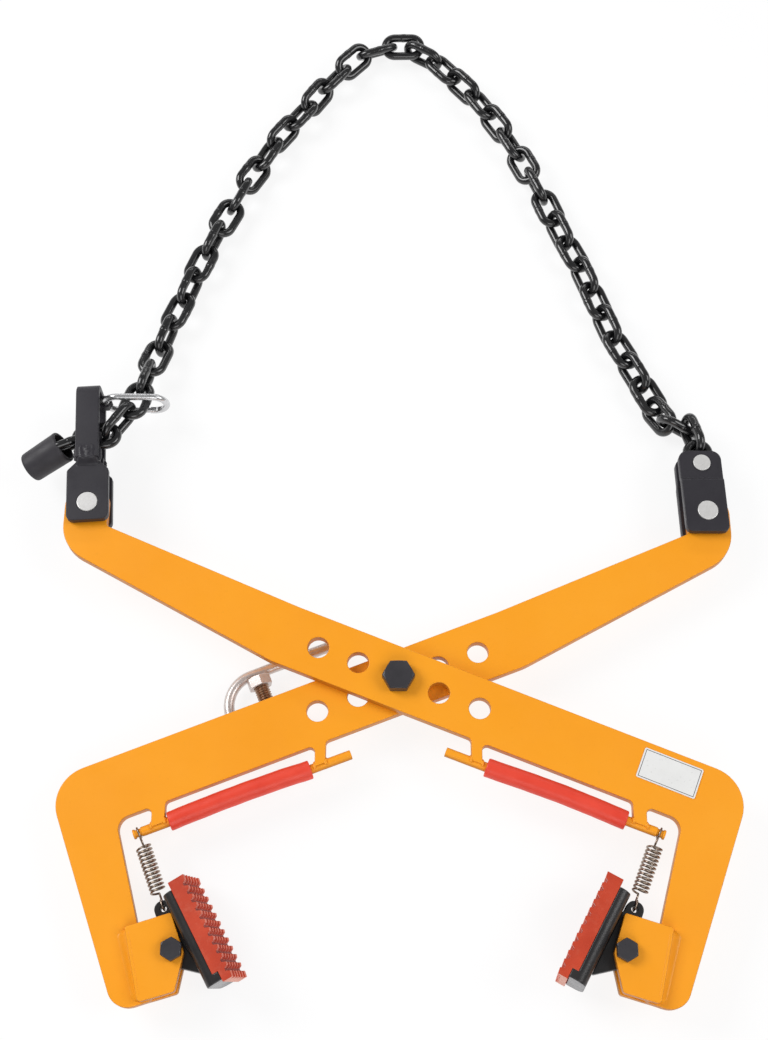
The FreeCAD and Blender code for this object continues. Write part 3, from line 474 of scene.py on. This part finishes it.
CHAIN_LEFT = [
    (4.08, 689.35, 15.45, -0.9980, 0.0305, -0.0555, -15.7),
    (-23.01, 684.12, 14.04, -0.9347, -0.3530, 0.0425, 57.1),
    (-46.97, 669.72, 15.43, -0.7023, -0.7105, -0.0453, -37.3),
    (-66.16, 648.60, 13.83, -0.6374, -0.7699, -0.0307, 45.1),
    (-83.40, 625.58, 13.90, -0.5638, -0.8259, -0.0065, -51.1),
    (-99.90, 602.16, 14.04, -0.5915, -0.8063, 0.0022, 33.1),
    (-116.61, 578.89, 14.17, -0.5949, -0.8037, -0.0117, 119.0),
    (-131.75, 554.81, 13.34, -0.4641, -0.8851, -0.0346, 40.8),
    (-145.01, 529.58, 13.16, -0.5065, -0.8615, 0.0352, -36.2),
    (-157.69, 503.96, 13.47, -0.4003, -0.9163, 0.0149, 67.4),
    (-169.18, 477.71, 14.26, -0.4229, -0.9056, 0.0329, -12.1),
    (-180.34, 451.40, 14.94, -0.3733, -0.9277, 0.0081, -89.6),
    (-191.15, 424.97, 14.43, -0.3702, -0.9286, -0.0246, 10.5),
    (-200.69, 398.29, 13.76, -0.3192, -0.9476, 0.0093, -71.9),
    (-210.58, 371.48, 14.12, -0.3711, -0.9285, 0.0163, 18.2),
    (-219.56, 344.54, 14.68, -0.2853, -0.9574, 0.0447, -80.7),
    (-227.42, 317.63, 19.28, -0.2673, -0.9345, 0.2350, -1.3),
    (-233.53, 291.12, 27.51, -0.1711, -0.9053, 0.3888, 87.2),
    (-239.35, 264.42, 35.44, -0.2375, -0.9435, 0.2310, 5.3),
    (-252.70, 240.02, 39.28, -0.5625, -0.8265, 0.0213, -81.7),
    (-271.30, 224.40, 41.38, -0.9877, -0.1548, 0.0215, 6.3),
]
TAIL_LINK = (-294.20, 217.20, 41.43, -0.9184, -0.3948, 0.0265, -105.3)
TAIL_AXIS = (-0.8350, -0.4120, -0.3570)


def link_frame(row):
    x, y, z, dx, dy, dz, roll = row
    d = Vector((dx, dy, dz)).normalized()
    s = Vector((0, 0, 1)).cross(d).normalized()
    u = d.cross(s)
    r = math.radians(roll)
    w = s * math.cos(r) + u * math.sin(r)
    n = d.cross(w)
    return Vector((x, y, z)), d, w, n


def link_line():
    """Centre line of one link, with the places along the one straight side that carries the weld."""
    pts, tag = [], []
    st = [-8.75, -6.0, -4.2, -3.0, -2.2, -1.5, -0.9, -0.45, 0.0, 0.45, 0.9, 1.5, 2.2, 3.0, 4.2, 6.0, 8.75]
    for x in st:
        pts.append(Vector((x, LR, 0))); tag.append(x)
    for k in range(1, 16):
        a = math.pi / 2 - math.pi * k / 16
        pts.append(Vector((LS / 2 + LR * math.cos(a), LR * math.sin(a), 0))); tag.append(None)
    for x in (8.75, 4.4, 0.0, -4.4, -8.75):
        pts.append(Vector((x, -LR, 0))); tag.append(None)
    for k in range(1, 16):
        a = -math.pi / 2 - math.pi * k / 16
        pts.append(Vector((-LS / 2 + LR * math.cos(a), LR * math.sin(a), 0))); tag.append(None)
    return pts, tag


LINE, TAG = link_line()


def one_link(g, row, seed):
    c, d, w, n = link_frame(row)
    if w.z < 0:                       # the weld sits on the upper side of the link
        w, n = -w, -n
    rnd = random.Random(seed)
    off = rnd.uniform(-0.5, 0.5)
    hgt = rnd.uniform(0.045, 0.075)
    pts = [c + d * p.x + w * p.y + n * p.z for p in LINE]

    def rf(i, a):
        x = TAG[i]
        q = 1.0 + 0.006 * noise.noise(pts[i] * 0.35 + Vector((math.cos(a), math.sin(a), seed)))
        if x is not None:
            e = x - off
            q += hgt * math.exp(-(e / 2.4) ** 2) + 0.035 * math.exp(-((e - 1.15) / 0.42) ** 2) + 0.03 * math.exp(-((e + 1.1) / 0.42) ** 2)
            q += 0.018 * math.exp(-(e / 2.0) ** 2) * noise.noise(Vector((x * 1.3, a * 2.0, seed * 3.1)))
        return q - 0.004

    tube(g, pts, LINK_WIRE / 2, 16, closed=True, ref=n, rfun=rf)


def chain_piece(name, rows, body, node, seed):
    g = Geo()
    for k, row in enumerate(rows):
        one_link(g, row, seed + k)
    return finish_obj(g, name, M["chain_black"], body, (node,), sharp=60)


for k_, (a_, b_) in {"a": (0, 5), "b": (5, 10), "c": (10, 15), "d": (15, 21)}.items():
    chain_piece("links_right_" + k_, CHAIN_RIGHT[a_:b_], "right_chain_body", "chain_right_" + k_, 100 + a_)
for k_, (a_, b_) in {"a": (0, 6), "b": (6, 13), "c": (13, 19)}.items():
    chain_piece("links_left_" + k_, CHAIN_LEFT[a_:b_], "left_head_body", "chain_left_" + k_, 200 + a_)
chain_piece("links_head", CHAIN_LEFT[19:21], "left_head_body", "head_chain_links", 240)
chain_piece("links_tail", [TAIL_LINK], "tail_body", "tail_link", 260)

# tail sleeve: moulded rubber end with a rolled mouth and a shallow waist
mouth = Vector(TAIL_LINK[0:3]) + Vector(TAIL_LINK[3:6]).normalized() * 6.0
g = Geo()
lathe(g, mouth, Vector(TAIL_AXIS).normalized(), [
    (9.2, 9.0), (11.3, 8.8), (11.9, 8.2), (12.0, 6.0), (12.0, 1.4), (12.3, 0.5), (12.9, 0.1), (13.5, 0.05), (14.2, 0.35), (14.65, 1.1), (14.8, 2.2),
    (14.7, 3.6), (14.55, 5.0), (14.4, 12.0), (14.2, 20.0), (14.0, 28.0), (13.85, 34.0), (13.75, 35.6), (13.55, 36.7), (13.0, 37.5), (12.2, 37.9),
    (10.5, 37.98), (6.0, 37.8), (2.5, 37.6), (0.0, 37.55)], 56, wob=0.10, seed=3)
finish_obj(g, "tail_rubber", M["rubber_black"], "tail_body", ("tail_sleeve",), sharp=50)

# ---------------------------------------------------------------------------
# springs
# ---------------------------------------------------------------------------
EAR_S, EAR_TT, NECK_R, NECK_AT = 32.8, 7.5, 3.2, 4.5
ROD_OUT, ROD_IN = Vector((214.6, -129.1)), Vector((39.0, -61.8))
JAW_X, JAW_Y, PAD_ANGLE = 176.4, -220.2, 60.8
SPRING_R, SPRING_WIRE, SPRING_TURNS, LUG_T = 5.8, 0.9, 12, 9.4


def catmull(p, per=5):
    out = []
    for i in range(len(p) - 1):
        a, b, c, d = p[max(i - 1, 0)], p[i], p[i + 1], p[min(i + 2, len(p) - 1)]
        for k in range(per):
            t = k / per
            out.append(0.5 * ((2 * b) + (c - a) * t + (2 * a - 5 * b + 4 * c - d) * t * t + (3 * b - a - 3 * c + d) * t ** 3))
    out.append(p[-1])
    return out


def spring(side, sx, z):
    a = Vector((sx * ROD_OUT.x, ROD_OUT.y, z))
    d = (Vector((sx * ROD_IN.x, ROD_IN.y, z)) - a).normalized()
    ang = math.radians(PAD_ANGLE if sx > 0 else 180 - PAD_ANGLE)
    ca, sa = math.cos(ang), math.sin(ang)
    es, et = EAR_S, sx * EAR_TT
    ear = Vector((sx * JAW_X + es * ca - et * sa, JAW_Y + es * sa + et * ca, z))
    top = a + d * NECK_AT
    u = ear - top
    dist = u.length
    u.normalize()
    k = Vector((0, 0, 1))
    w = k.cross(u)
    lr = NECK_R + SPRING_WIRE + 0.1
    c0, c1 = 11.5, dist - 14.5
    p = []
    for i in range(0, 21):                      # eye round the rod's neck
        q = math.radians(-60 + 300 * i / 20)
        p.append(top + u * (lr * math.cos(q)) + k * (lr * math.sin(q)) + d * (1.0 - 1.6 * i / 20))
    p.append(top + u * 6.6 - k * 3.0)
    p.append(top + u * 9.2 - k * (SPRING_R * 0.86))
    p = catmull(p, 3)
    per = 28
    tot = SPRING_TURNS * per
    coil = []
    for i in range(tot + 1):
        al = 2 * math.pi * i / per - math.pi / 2
        e = min(1.0, i / per, (tot - i) / per)
        coil.append(top + u * (c0 + (c1 - c0) * i / tot) + w * (SPRING_R * math.cos(al)) + k * (SPRING_R * math.sin(al)))
    sz = LUG_T / 2 + SPRING_WIRE + 0.35
    h = [coil[-1], top + u * (c1 + 2.6) - k * (SPRING_R * 0.95), top + u * (c1 + 7.0) - k * sz, top + u * (dist - 2.2) - k * sz]
    for i in range(1, 6):
        q = math.pi * i / 6
        h.append(top + u * (dist - 1.4 + 2.0 * math.sin(q)) - k * (sz * math.cos(q)))
    h += [top + u * (dist - 2.0) + k * sz, top + u * (dist - 5.0) + k * (sz - 0.4), top + u * (dist - 7.2) + k * (sz - 1.6)]
    h = catmull(h, 4)
    g = Geo()
    tube(g, p + coil + h[1:], SPRING_WIRE, 10)
    o = finish_obj(g, side + "_spring_wire", M["spring_steel"], None, (side + "_pad_spring",), sharp=60)
    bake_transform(o)
    return o


spring("left", -1, 30.0)
spring("right", 1, 41.0)

# ---------------------------------------------------------------------------
# toothed grip pads
# ---------------------------------------------------------------------------
PAD_FACE, BAR_T, BAR_W = 24.4, 9.7, 46.0
PAD_S0, PAD_S1, PAD_T, TOOTH_T = -42.5, 45.3, 13.8, 3.2
ROW_PITCH, COL_PITCH = 7.317, 7.67


def pad_xf(sx, z_mid, roll):
    m = Matrix.Translation((sx * JAW_X, JAW_Y, z_mid))
    m = m @ Matrix.Rotation(math.radians(PAD_ANGLE if sx > 0 else 180 - PAD_ANGLE), 4, "Z")
    c = Vector((0, sx * (PAD_FACE - BAR_T / 2), 0))
    return m @ Matrix.Translation(c) @ Matrix.Rotation(math.radians(sx * roll), 4, "X") @ Matrix.Translation(-c)


def grip(side, sx, z_mid, roll, body):
    m = pad_xf(sx, z_mid, roll)
    hw = BAR_W / 2
    rnd = random.Random(11 if sx > 0 else 23)
    base = PAD_FACE + PAD_T - TOOTH_T
    top = PAD_FACE + PAD_T
    rows = 12
    s_lines, z_lines = [], []
    for r in range(rows):
        a = PAD_S0 + ROW_PITCH * r + (0 if r == 0 else 1.05)
        b = PAD_S0 + ROW_PITCH * (r + 1) - (0 if r == rows - 1 else 1.05)
        if r == rows - 1:
            b = PAD_S1
        s_lines.append((a, a + (0.0 if r == 0 else 1.35), b - (0.0 if r == rows - 1 else 1.35), b))
    for c in range(6):
        a = -hw + COL_PITCH * c + (0 if c == 0 else 1.15)
        b = -hw + COL_PITCH * (c + 1) - (0 if c == 5 else 1.15)
        if c == 5:
            b = hw
        z_lines.append((a, a + (0.0 if c == 0 else 1.4), b - (0.0 if c == 5 else 1.4), b))

    def spread(lines):
        out = []
        for k, (a, b, c, d) in enumerate(lines):
            for v, hi in ((a, 0), (b, 1), (c, 2), (d, 0)):
                if out and abs(out[-1][0] - v) < 1e-6:
                    out[-1] = (v, max(out[-1][1], hi), k)
                    continue
                out.append((v, hi, k))
        return out

    S, Z = spread(s_lines), spread(z_lines)
    n, q = len(S), len(Z)
    tops = {(r, c): rnd.uniform(-0.12, 0.0) for r in range(rows) for c in range(6)}
    v = []
    for i, (s, hs, r) in enumerate(S):
        for j, (z, hz, c) in enumerate(Z):
            if hs and hz:
                t = top + tops[(r, c)] - (0.7 if hs == 1 else 0.0)
            else:
                t = base
            v.append((s, t, z))
    f = []
    for i in range(n - 1):
        for j in range(q - 1):
            f.append([i * q + j, i * q + j + 1, (i + 1) * q + j + 1, (i + 1) * q + j])
    # skirt down to the back face, with the step over the holder's lip
    lip_s, lip_t = -33.5, PAD_FACE + 5.0
    k0 = len(v)

    def under(s):
        return lip_t if s < lip_s else PAD_FACE

    ring = [i * q for i in range(n)] + [(n - 1) * q + j for j in range(1, q)] + [i * q + q - 1 for i in range(n - 2, -1, -1)] + [j for j in range(q - 2, 0, -1)]
    mid, low = [], []
    for i in ring:
        s, t, z = v[i]
        mid.append(len(v)); v.append((s, base - 2.2, z))
    for a in range(len(ring)):
        b = (a + 1) % len(ring)
        f.append([ring[a], ring[b], mid[b], mid[a]])
    # solid body under the teeth as one stepped block
    def block(s):
        return s
    prof = [(PAD_S0, base - 2.2), (PAD_S0, lip_t), (lip_s, lip_t), (lip_s, PAD_FACE), (PAD_S1, PAD_FACE), (PAD_S1, base - 2.2)]
    g = Geo()
    place = lambda p: m @ Vector((p[0], sx * p[1], p[2]))
    g.add([place(p) for p in v], f)
    # gap floors take the painted-shade red, tooth tops the lighter red of dust and painted highlight
    for k, q_ in enumerate(f):
        if all(abs(v[i][1] - base) < 1e-6 for i in q_):
            g.m[k] = 1
        elif all(v[i][1] > base + 1.0 for i in q_):
            g.m[k] = 2
    bv = [place((s, t, -hw)) for s, t in prof] + [place((s, t, hw)) for s, t in prof]
    np_ = len(prof)
    bf = [[0, 1, 2, 3, 4, 5][::-1], [6, 7, 8, 9, 10, 11]] + [[i, i + 1, i + 1 + np_, i + np_] for i in range(np_ - 1)]
    g.add(bv, bf)
    return finish_obj(g, side + "_pad_rubber", [M[side + "_pad_red"], M["pad_gap_shade"], M["pad_tip_dust_and_highlight"]], body, (side + "_grip_pad",), sharp=38, bevel=0.28, segs=2)


grip("left", -1, 30.0, 11.0, "left_pad_body")
grip("right", 1, 41.0, -4.0, "right_pad_body")

# ---------------------------------------------------------------------------
# red hose sleeves on the rest rods
# ---------------------------------------------------------------------------
def hose(side, sx, z, body, seed):
    a = Vector((sx * ROD_OUT.x, ROD_OUT.y, z))
    d = (Vector((sx * ROD_IN.x, ROD_IN.y, z)) - a).normalized()
    s0 = (sx * 189.5 - a.x) / d.x + (5.6 if sx > 0 else 3.4)
    s1 = (sx * 68.9 - a.x) / d.x - 3.4
    ln = s1 - s0
    R = 7.9
    prof = [(4.35, 3.0), (4.4, 0.5), (4.8, 0.12), (6.6, 0.05), (7.4, 0.15), (7.78, 0.6), (R, 1.4)]
    for i in range(1, 40):
        prof.append((R, 1.4 + (ln - 2.8) * i / 40))
    prof += [(R, ln - 1.4), (7.78, ln - 0.6), (7.4, ln - 0.15), (6.6, ln - 0.05), (4.8, ln - 0.12), (4.4, ln - 0.5), (4.35, ln - 3.0)]
    g = Geo()
    lathe(g, a + d * s0, d, prof, 40, wob=0.16, seed=seed)
    up = Vector((-d.y, d.x, 0)) if d.x > 0 else Vector((d.y, -d.x, 0))
    for i, p in enumerate(g.v):
        s = (Vector(p) - a).dot(d) - s0
        off = 1.5 * math.sin(math.pi * min(1.0, max(0.0, s / ln))) + 0.35 * noise.noise(Vector((s * 0.045, seed, 0.0))) * min(1.0, s / 12, (ln - s) / 12)
        g.v[i] = Vector(p) + up * off
    return finish_obj(g, side + "_hose", M["sleeve_red"], body, (side + "_rest_sleeve",), sharp=60)


hose("left", -1, 30.0, "back_arm_body", 5)
hose("right", 1, 41.0, "front_arm_body", 9)

# ---------------------------------------------------------------------------
# stop stud with a rolled thread
# ---------------------------------------------------------------------------
te = math.radians(21.75)
TX, TY, NX, NY = math.cos(te), math.sin(te), -math.sin(te), math.cos(te)


def tn(t, n, z):
    return Vector((t * TX + n * NX, t * TY + n * NY, z))


def thread(g, base, axis, r, length, pitch, depth, sides=28, per=8):
    base, axis = Vector(base), Vector(axis).normalized()
    u = Vector((0, 0, 1))
    w = axis.cross(u)
    n = int(length / pitch * per)
    v, f = [], []
    for i in range(n + 1):
        h = length * i / n
        end = min(h, length - h)
        cut = depth + 0.5 if end < 0.01 else (0.9 * (1 - end / 1.2) if end < 1.2 else 0.0)
        for j in range(sides):
            a = 2 * math.pi * j / sides
            ph = (h / pitch - j / sides) % 1.0
            tri = abs(ph - 0.5) * 2
            tri = min(1.0, max(0.0, (tri - 0.12) / 0.72))
            rr = min(r - depth * tri, r - cut * 0.8)
            v.append(base + axis * h + (u * math.cos(a) + w * math.sin(a)) * rr)
    for i in range(n):
        for j in range(sides):
            l = (j + 1) % sides
            f.append([i * sides + j, i * sides + l, (i + 1) * sides + l, (i + 1) * sides + j])
    f.append(list(range(sides))[::-1])
    f.append([n * sides + j for j in range(sides)])
    g.add(v, f)


g = Geo()
thread(g, tn(-108.5, 0, 15.0), (NX, NY, 0), 6.5, 52.6, 2.2, 1.2)
finish_obj(g, "stop_stud_thread", M["thread_steel"], "back_arm_body", ("stop_stud",), sharp=80)


# ---------------------------------------------------------------------------
# weld beads
# ---------------------------------------------------------------------------
def weld(name, pts, r, mat, body, pitch=2.2, closed=False, seed=1, sides=10):
    """Rippled bead along a line, half sunk in the corner it fills."""
    pts = [Vector(p) for p in pts]
    if closed:
        pts = pts + [pts[0]]
    fine = []
    for a, b in zip(pts, pts[1:]):
        k = max(1, int((b - a).length / 0.45))
        fine += [a.lerp(b, i / k) for i in range(k)]
    if not closed:
        fine.append(pts[-1])
    s, acc = [], 0.0
    for i, p in enumerate(fine):
        acc += (p - fine[i - 1]).length if i else 0.0
        s.append(acc)
    rnd = random.Random(seed)
    ph = rnd.uniform(0, 1)
    rad = []
    for i, p in enumerate(fine):
        x = (s[i] / pitch + ph) % 1.0
        rip = 1.0 - 0.20 * x ** 1.6
        end = 1.0 if closed else min(1.0, 0.45 + min(s[i], acc - s[i]) / (1.6 * r))
        rad.append(r * rip * end * (1.0 + 0.16 * noise.noise(p * 0.5 + Vector((seed, 0, 0)))))
    g = Geo()
    tube(g, fine, rad, sides, closed=closed, round_end=False)
    return finish_obj(g, name, M[mat], body, sharp=75)


def ring_pts(c, axis, r, n=40, a0=0.0, a1=2 * math.pi, ref=(0, 0, 1)):
    c, axis = Vector(c), Vector(axis).normalized()
    u = Vector(ref)
    u = (u - axis * u.dot(axis)).normalized()
    w = axis.cross(u)
    return [c + (u * math.cos(a0 + (a1 - a0) * i / n) + w * math.sin(a0 + (a1 - a0) * i / n)) * r for i in range(n + 1)]


def fillet(name, sx, e0, e1, z0, sg, h, w0, w1, body):
    """Smooth ground weld from the edge of a plate down to the plate below it."""
    n, m = 30, 10
    ex, ey = e1[0] - e0[0], e1[1] - e0[1]
    ll = math.hypot(ex, ey)
    ox, oy = -ey / ll, ex / ll
    top = []
    for i in range(n + 1):
        t = i / n
        end = min(1.0, 0.35 + 0.65 * math.sqrt(min(1.0, min(t, 1 - t) / 0.06)))
        w = (w0 + (w1 - w0) * t) * end
        for j in range(m + 1):
            u = j / m
            o = -2.6 + (w + 2.6) * u
            x, y = e0[0] + ex * t + ox * o, e0[1] + ey * t + oy * o
            rough = 0.35 * noise.noise(Vector((x * 0.22, y * 0.22, 7.0 * sx + sg))) * math.sin(math.pi * u)
            top.append((sx * x, y, max(0.0, h * end * (1 - u * u * (3 - 2 * u)) + rough)))
    k, b = m + 1, len(top)
    v = [(x, y, z0 + sg * q) for x, y, q in top] + [(x, y, z0 - sg * 0.4) for x, y, q in top]
    f = [[i * k + j, i * k + j + 1, (i + 1) * k + j + 1, (i + 1) * k + j] for i in range(n) for j in range(m)]
    f += [[b + q for q in r][::-1] for r in f]
    rim = [i * k for i in range(n + 1)] + [n * k + j for j in range(1, k)] + [i * k + m for i in range(n - 1, -1, -1)] + [j for j in range(m - 1, 0, -1)]
    f += [[rim[i], rim[(i + 1) % len(rim)], b + rim[(i + 1) % len(rim)], b + rim[i]] for i in range(len(rim))]
    g = Geo()
    g.add(v, f)
    return finish_obj(g, name, M["orange_weld"], body, sharp=70)


for side_, sx_, z_, bd_ in (("left", -1, 30.0, "back_arm_body"), ("right", 1, 41.0, "front_arm_body")):
    a_ = Vector((sx_ * ROD_OUT.x, ROD_OUT.y, z_))
    d_ = (Vector((sx_ * ROD_IN.x, ROD_IN.y, z_)) - a_).normalized()
    k_ = 0
    for x0_, x1_ in ((189.5, 200.4), (59.8, 68.9)):
        for xx_ in (x0_, x1_):
            p_ = a_ + d_ * ((sx_ * xx_ - a_.x) / d_.x)
            k_ += 1
            # round the rod where it enters the tab, open on the free lower side
            up_ = Vector((0, 1, 0))
            weld("%s_rod_weld_%d" % (side_, k_), ring_pts(p_, Vector((1, 0, 0)), 4.15, 30, -1.9, 1.9, up_), 1.5, "orange_weld", bd_, seed=30 + k_)
    # along the cheek where it meets the leg
    e0_, e1_ = (213.5, -203.6), (200.6, -259.0)
    for zz_, nm_ in ((z_ + 5.0, "front"), (z_ - 5.0, "back")):
        fillet("%s_cheek_fillet_%s" % (side_, nm_), sx_, (214.2, -204.0), (200.9, -258.2), zz_, 1 if nm_ == "front" else -1, 8.1, 8.0, 4.5, bd_)

# stirrup legs on the head plates
ht = math.radians(4.0)


def on_head(x, y, z):
    return (-271.7 + x * math.cos(ht) - y * math.sin(ht), 155.0 + x * math.sin(ht) + y * math.cos(ht), z)


for nm_, zz_ in (("front", 55.0), ("back", 27.0)):
    path_ = [on_head(-10.4, 51.5 - i, zz_) for i in range(0, 11)] + [on_head(-10.4 + 2.08 * i, 40.9, zz_) for i in range(1, 10)] + [on_head(10.4, 41.5 + i, zz_) for i in range(0, 11)]
    weld("head_weld_" + nm_, path_, 2.1, "head_black_paint", "left_head_body", pitch=2.6, seed=71)

# built-up weld over the lower end of each strap
for nm_, z0_, sg_ in (("front", 55.0, 1), ("back", 27.0, -1)):
    g = Geo()
    nx_, ny_ = 26, 22
    top_ = []
    for i in range(nx_ + 1):
        for j in range(ny_ + 1):
            u_, w_ = -1 + 2 * i / nx_, j / ny_
            x_, y_ = 10.0 * u_, 34.5 + 19.0 * w_
            rise = min(1.0, w_ / 0.32)
            rise = rise * rise * (3 - 2 * rise)
            lump = noise.noise(Vector((x_ * 0.23, y_ * 0.26, 3.0 + sg_))) * 0.9 + noise.noise(Vector((x_ * 0.6, y_ * 0.55, 9.0))) * 0.35
            ends = (1 - abs(u_) ** 5) * (1.0 if w_ < 0.7 else max(0.0, 1 - ((w_ - 0.7) / 0.3) ** 2))
            hgt = (6.0 if w_ > 0.345 else 6.4 * rise) * (1 - abs(u_) ** 6) + (0.75 + lump) * ends * min(1.0, w_ / 0.15) - (0.5 if w_ > 0.97 else 0.0)
            top_.append((x_, y_, max(0.0, hgt)))
    v_ = [on_head(x, y, z0_ + sg_ * h) for x, y, h in top_]
    k_ = ny_ + 1
    f_ = [[i * k_ + j, i * k_ + j + 1, (i + 1) * k_ + j + 1, (i + 1) * k_ + j] for i in range(nx_) for j in range(ny_)]
    b_ = len(v_)
    v_ += [on_head(x, y, z0_ - sg_ * 0.4) for x, y, h in top_]
    f_ += [[b_ + q for q in r][::-1] for r in f_]
    rim_ = [i * k_ for i in range(nx_ + 1)] + [nx_ * k_ + j for j in range(1, k_)] + [i * k_ + ny_ for i in range(nx_ - 1, -1, -1)] + [j for j in range(ny_ - 1, 0, -1)]
    f_ += [[rim_[i], rim_[(i + 1) % len(rim_)], b_ + rim_[(i + 1) % len(rim_)], b_ + rim_[i]] for i in range(len(rim_))]
    g.add(v_, f_)
    finish_obj(g, "head_strap_weld_" + nm_, M["head_black_paint"], "left_head_body", sharp=70)

# printed border of the blank plate
g = Geo()
pa_ = math.radians(-22.0)
for a_, b_, c_, d_ in ((-23.6, 23.6, 11.3, 11.75), (-23.6, 23.6, -11.75, -11.3), (-23.6, -23.15, -11.3, 11.3), (23.15, 23.6, -11.3, 11.3)):
    q_ = [(a_, c_), (b_, c_), (b_, d_), (a_, d_)]
    up_ = [(221.0 + x * math.cos(pa_) - y * math.sin(pa_), -79.6 + x * math.sin(pa_) + y * math.cos(pa_)) for x, y in q_]
    g.add([(x, y, 46.8 + h) for h in (0.0, 0.05) for x, y in up_], [[0, 1, 2, 3][::-1], [4, 5, 6, 7], [0, 1, 5, 4], [1, 2, 6, 5], [2, 3, 7, 6], [3, 0, 4, 7]])
finish_obj(g, "plate_border", M["black_fastener"], "front_arm_body", sharp=30)

# ---------------------------------------------------------------------------
# camera, floor, light
# ---------------------------------------------------------------------------
cam = bpy.data.cameras.new("camera")
cam.sensor_fit = "VERTICAL"
cam.sensor_height = 36.0
cam.lens = 36.0 * 1465.0 / 1040.0
cam.clip_start, cam.clip_end = 0.01, 50
cam.dof.use_dof = False
cam_o = bpy.data.objects.new("camera", cam)
cam_o.location = mm(-12.8, -357.15, 1224)
cam_o.rotation_euler = (Matrix.Rotation(math.radians(23), 4, "X") @ Matrix.Rotation(math.radians(0.33), 4, "Z")).to_euler()
SC.collection.objects.link(cam_o)
SC.camera = cam_o

fm, nt, b = new_mat("floor_white")
v = coords(nt)
lk(nt, ramp(nt, noise_tex(nt, v, 3.0, 3.0, 0.5), [(0.3, (0.15, 0.15, 0.153)), (0.7, (0.17, 0.17, 0.172))]), b.inputs["Base Color"])
b.inputs["Roughness"].default_value = 0.9
b.inputs["Specular IOR Level"].default_value = 0.05
b.inputs["Emission Color"].default_value = (1, 1, 1, 1)
b.inputs["Emission Strength"].default_value = 0.85
bm = bmesh.new()
bmesh.ops.create_grid(bm, x_segments=8, y_segments=8, size=6.0)
me = bpy.data.meshes.new("floor")
bm.to_mesh(me); bm.free()
floor = bpy.data.objects.new("floor", me)
floor.location = (0, 0, -0.0004)
SC.collection.objects.link(floor)
dress(floor, fm)

world = bpy.data.worlds.new("studio")
SC.world = world
world.use_nodes = True
bg = world.node_tree.nodes["Background"]
bg.inputs["Color"].default_value = (1, 1, 1, 1)
bg.inputs["Strength"].default_value = 0.30


def area(name, loc, target, size, power, size_y=None):
    l = bpy.data.lights.new(name, "AREA")
    l.energy = power
    l.size = size
    if size_y:
        l.shape = "RECTANGLE"
        l.size_y = size_y
    o = bpy.data.objects.new(name, l)
    o.location = loc
    o.rotation_euler = (Vector(target) - Vector(loc)).to_track_quat("-Z", "Y").to_euler()
    SC.collection.objects.link(o)
    return o


area("key", (-2.0, 0.7, 1.9), (0, 0, 0), 1.4, 46)
area("fill", (2.0, -0.2, 1.9), (0, 0, 0), 1.4, 23.5)
area("front", (0.1, -2.0, 1.5), (0, 0, 0), 1.4, 14.5)
area("strip", (0.2, 2.5, 1.3), (0, 0.3, 0), 2.6, 9, 0.3)
SC.view_settings.view_transform = "Standard"
SC.view_settings.look = "None"
SC.view_settings.exposure = 0.0
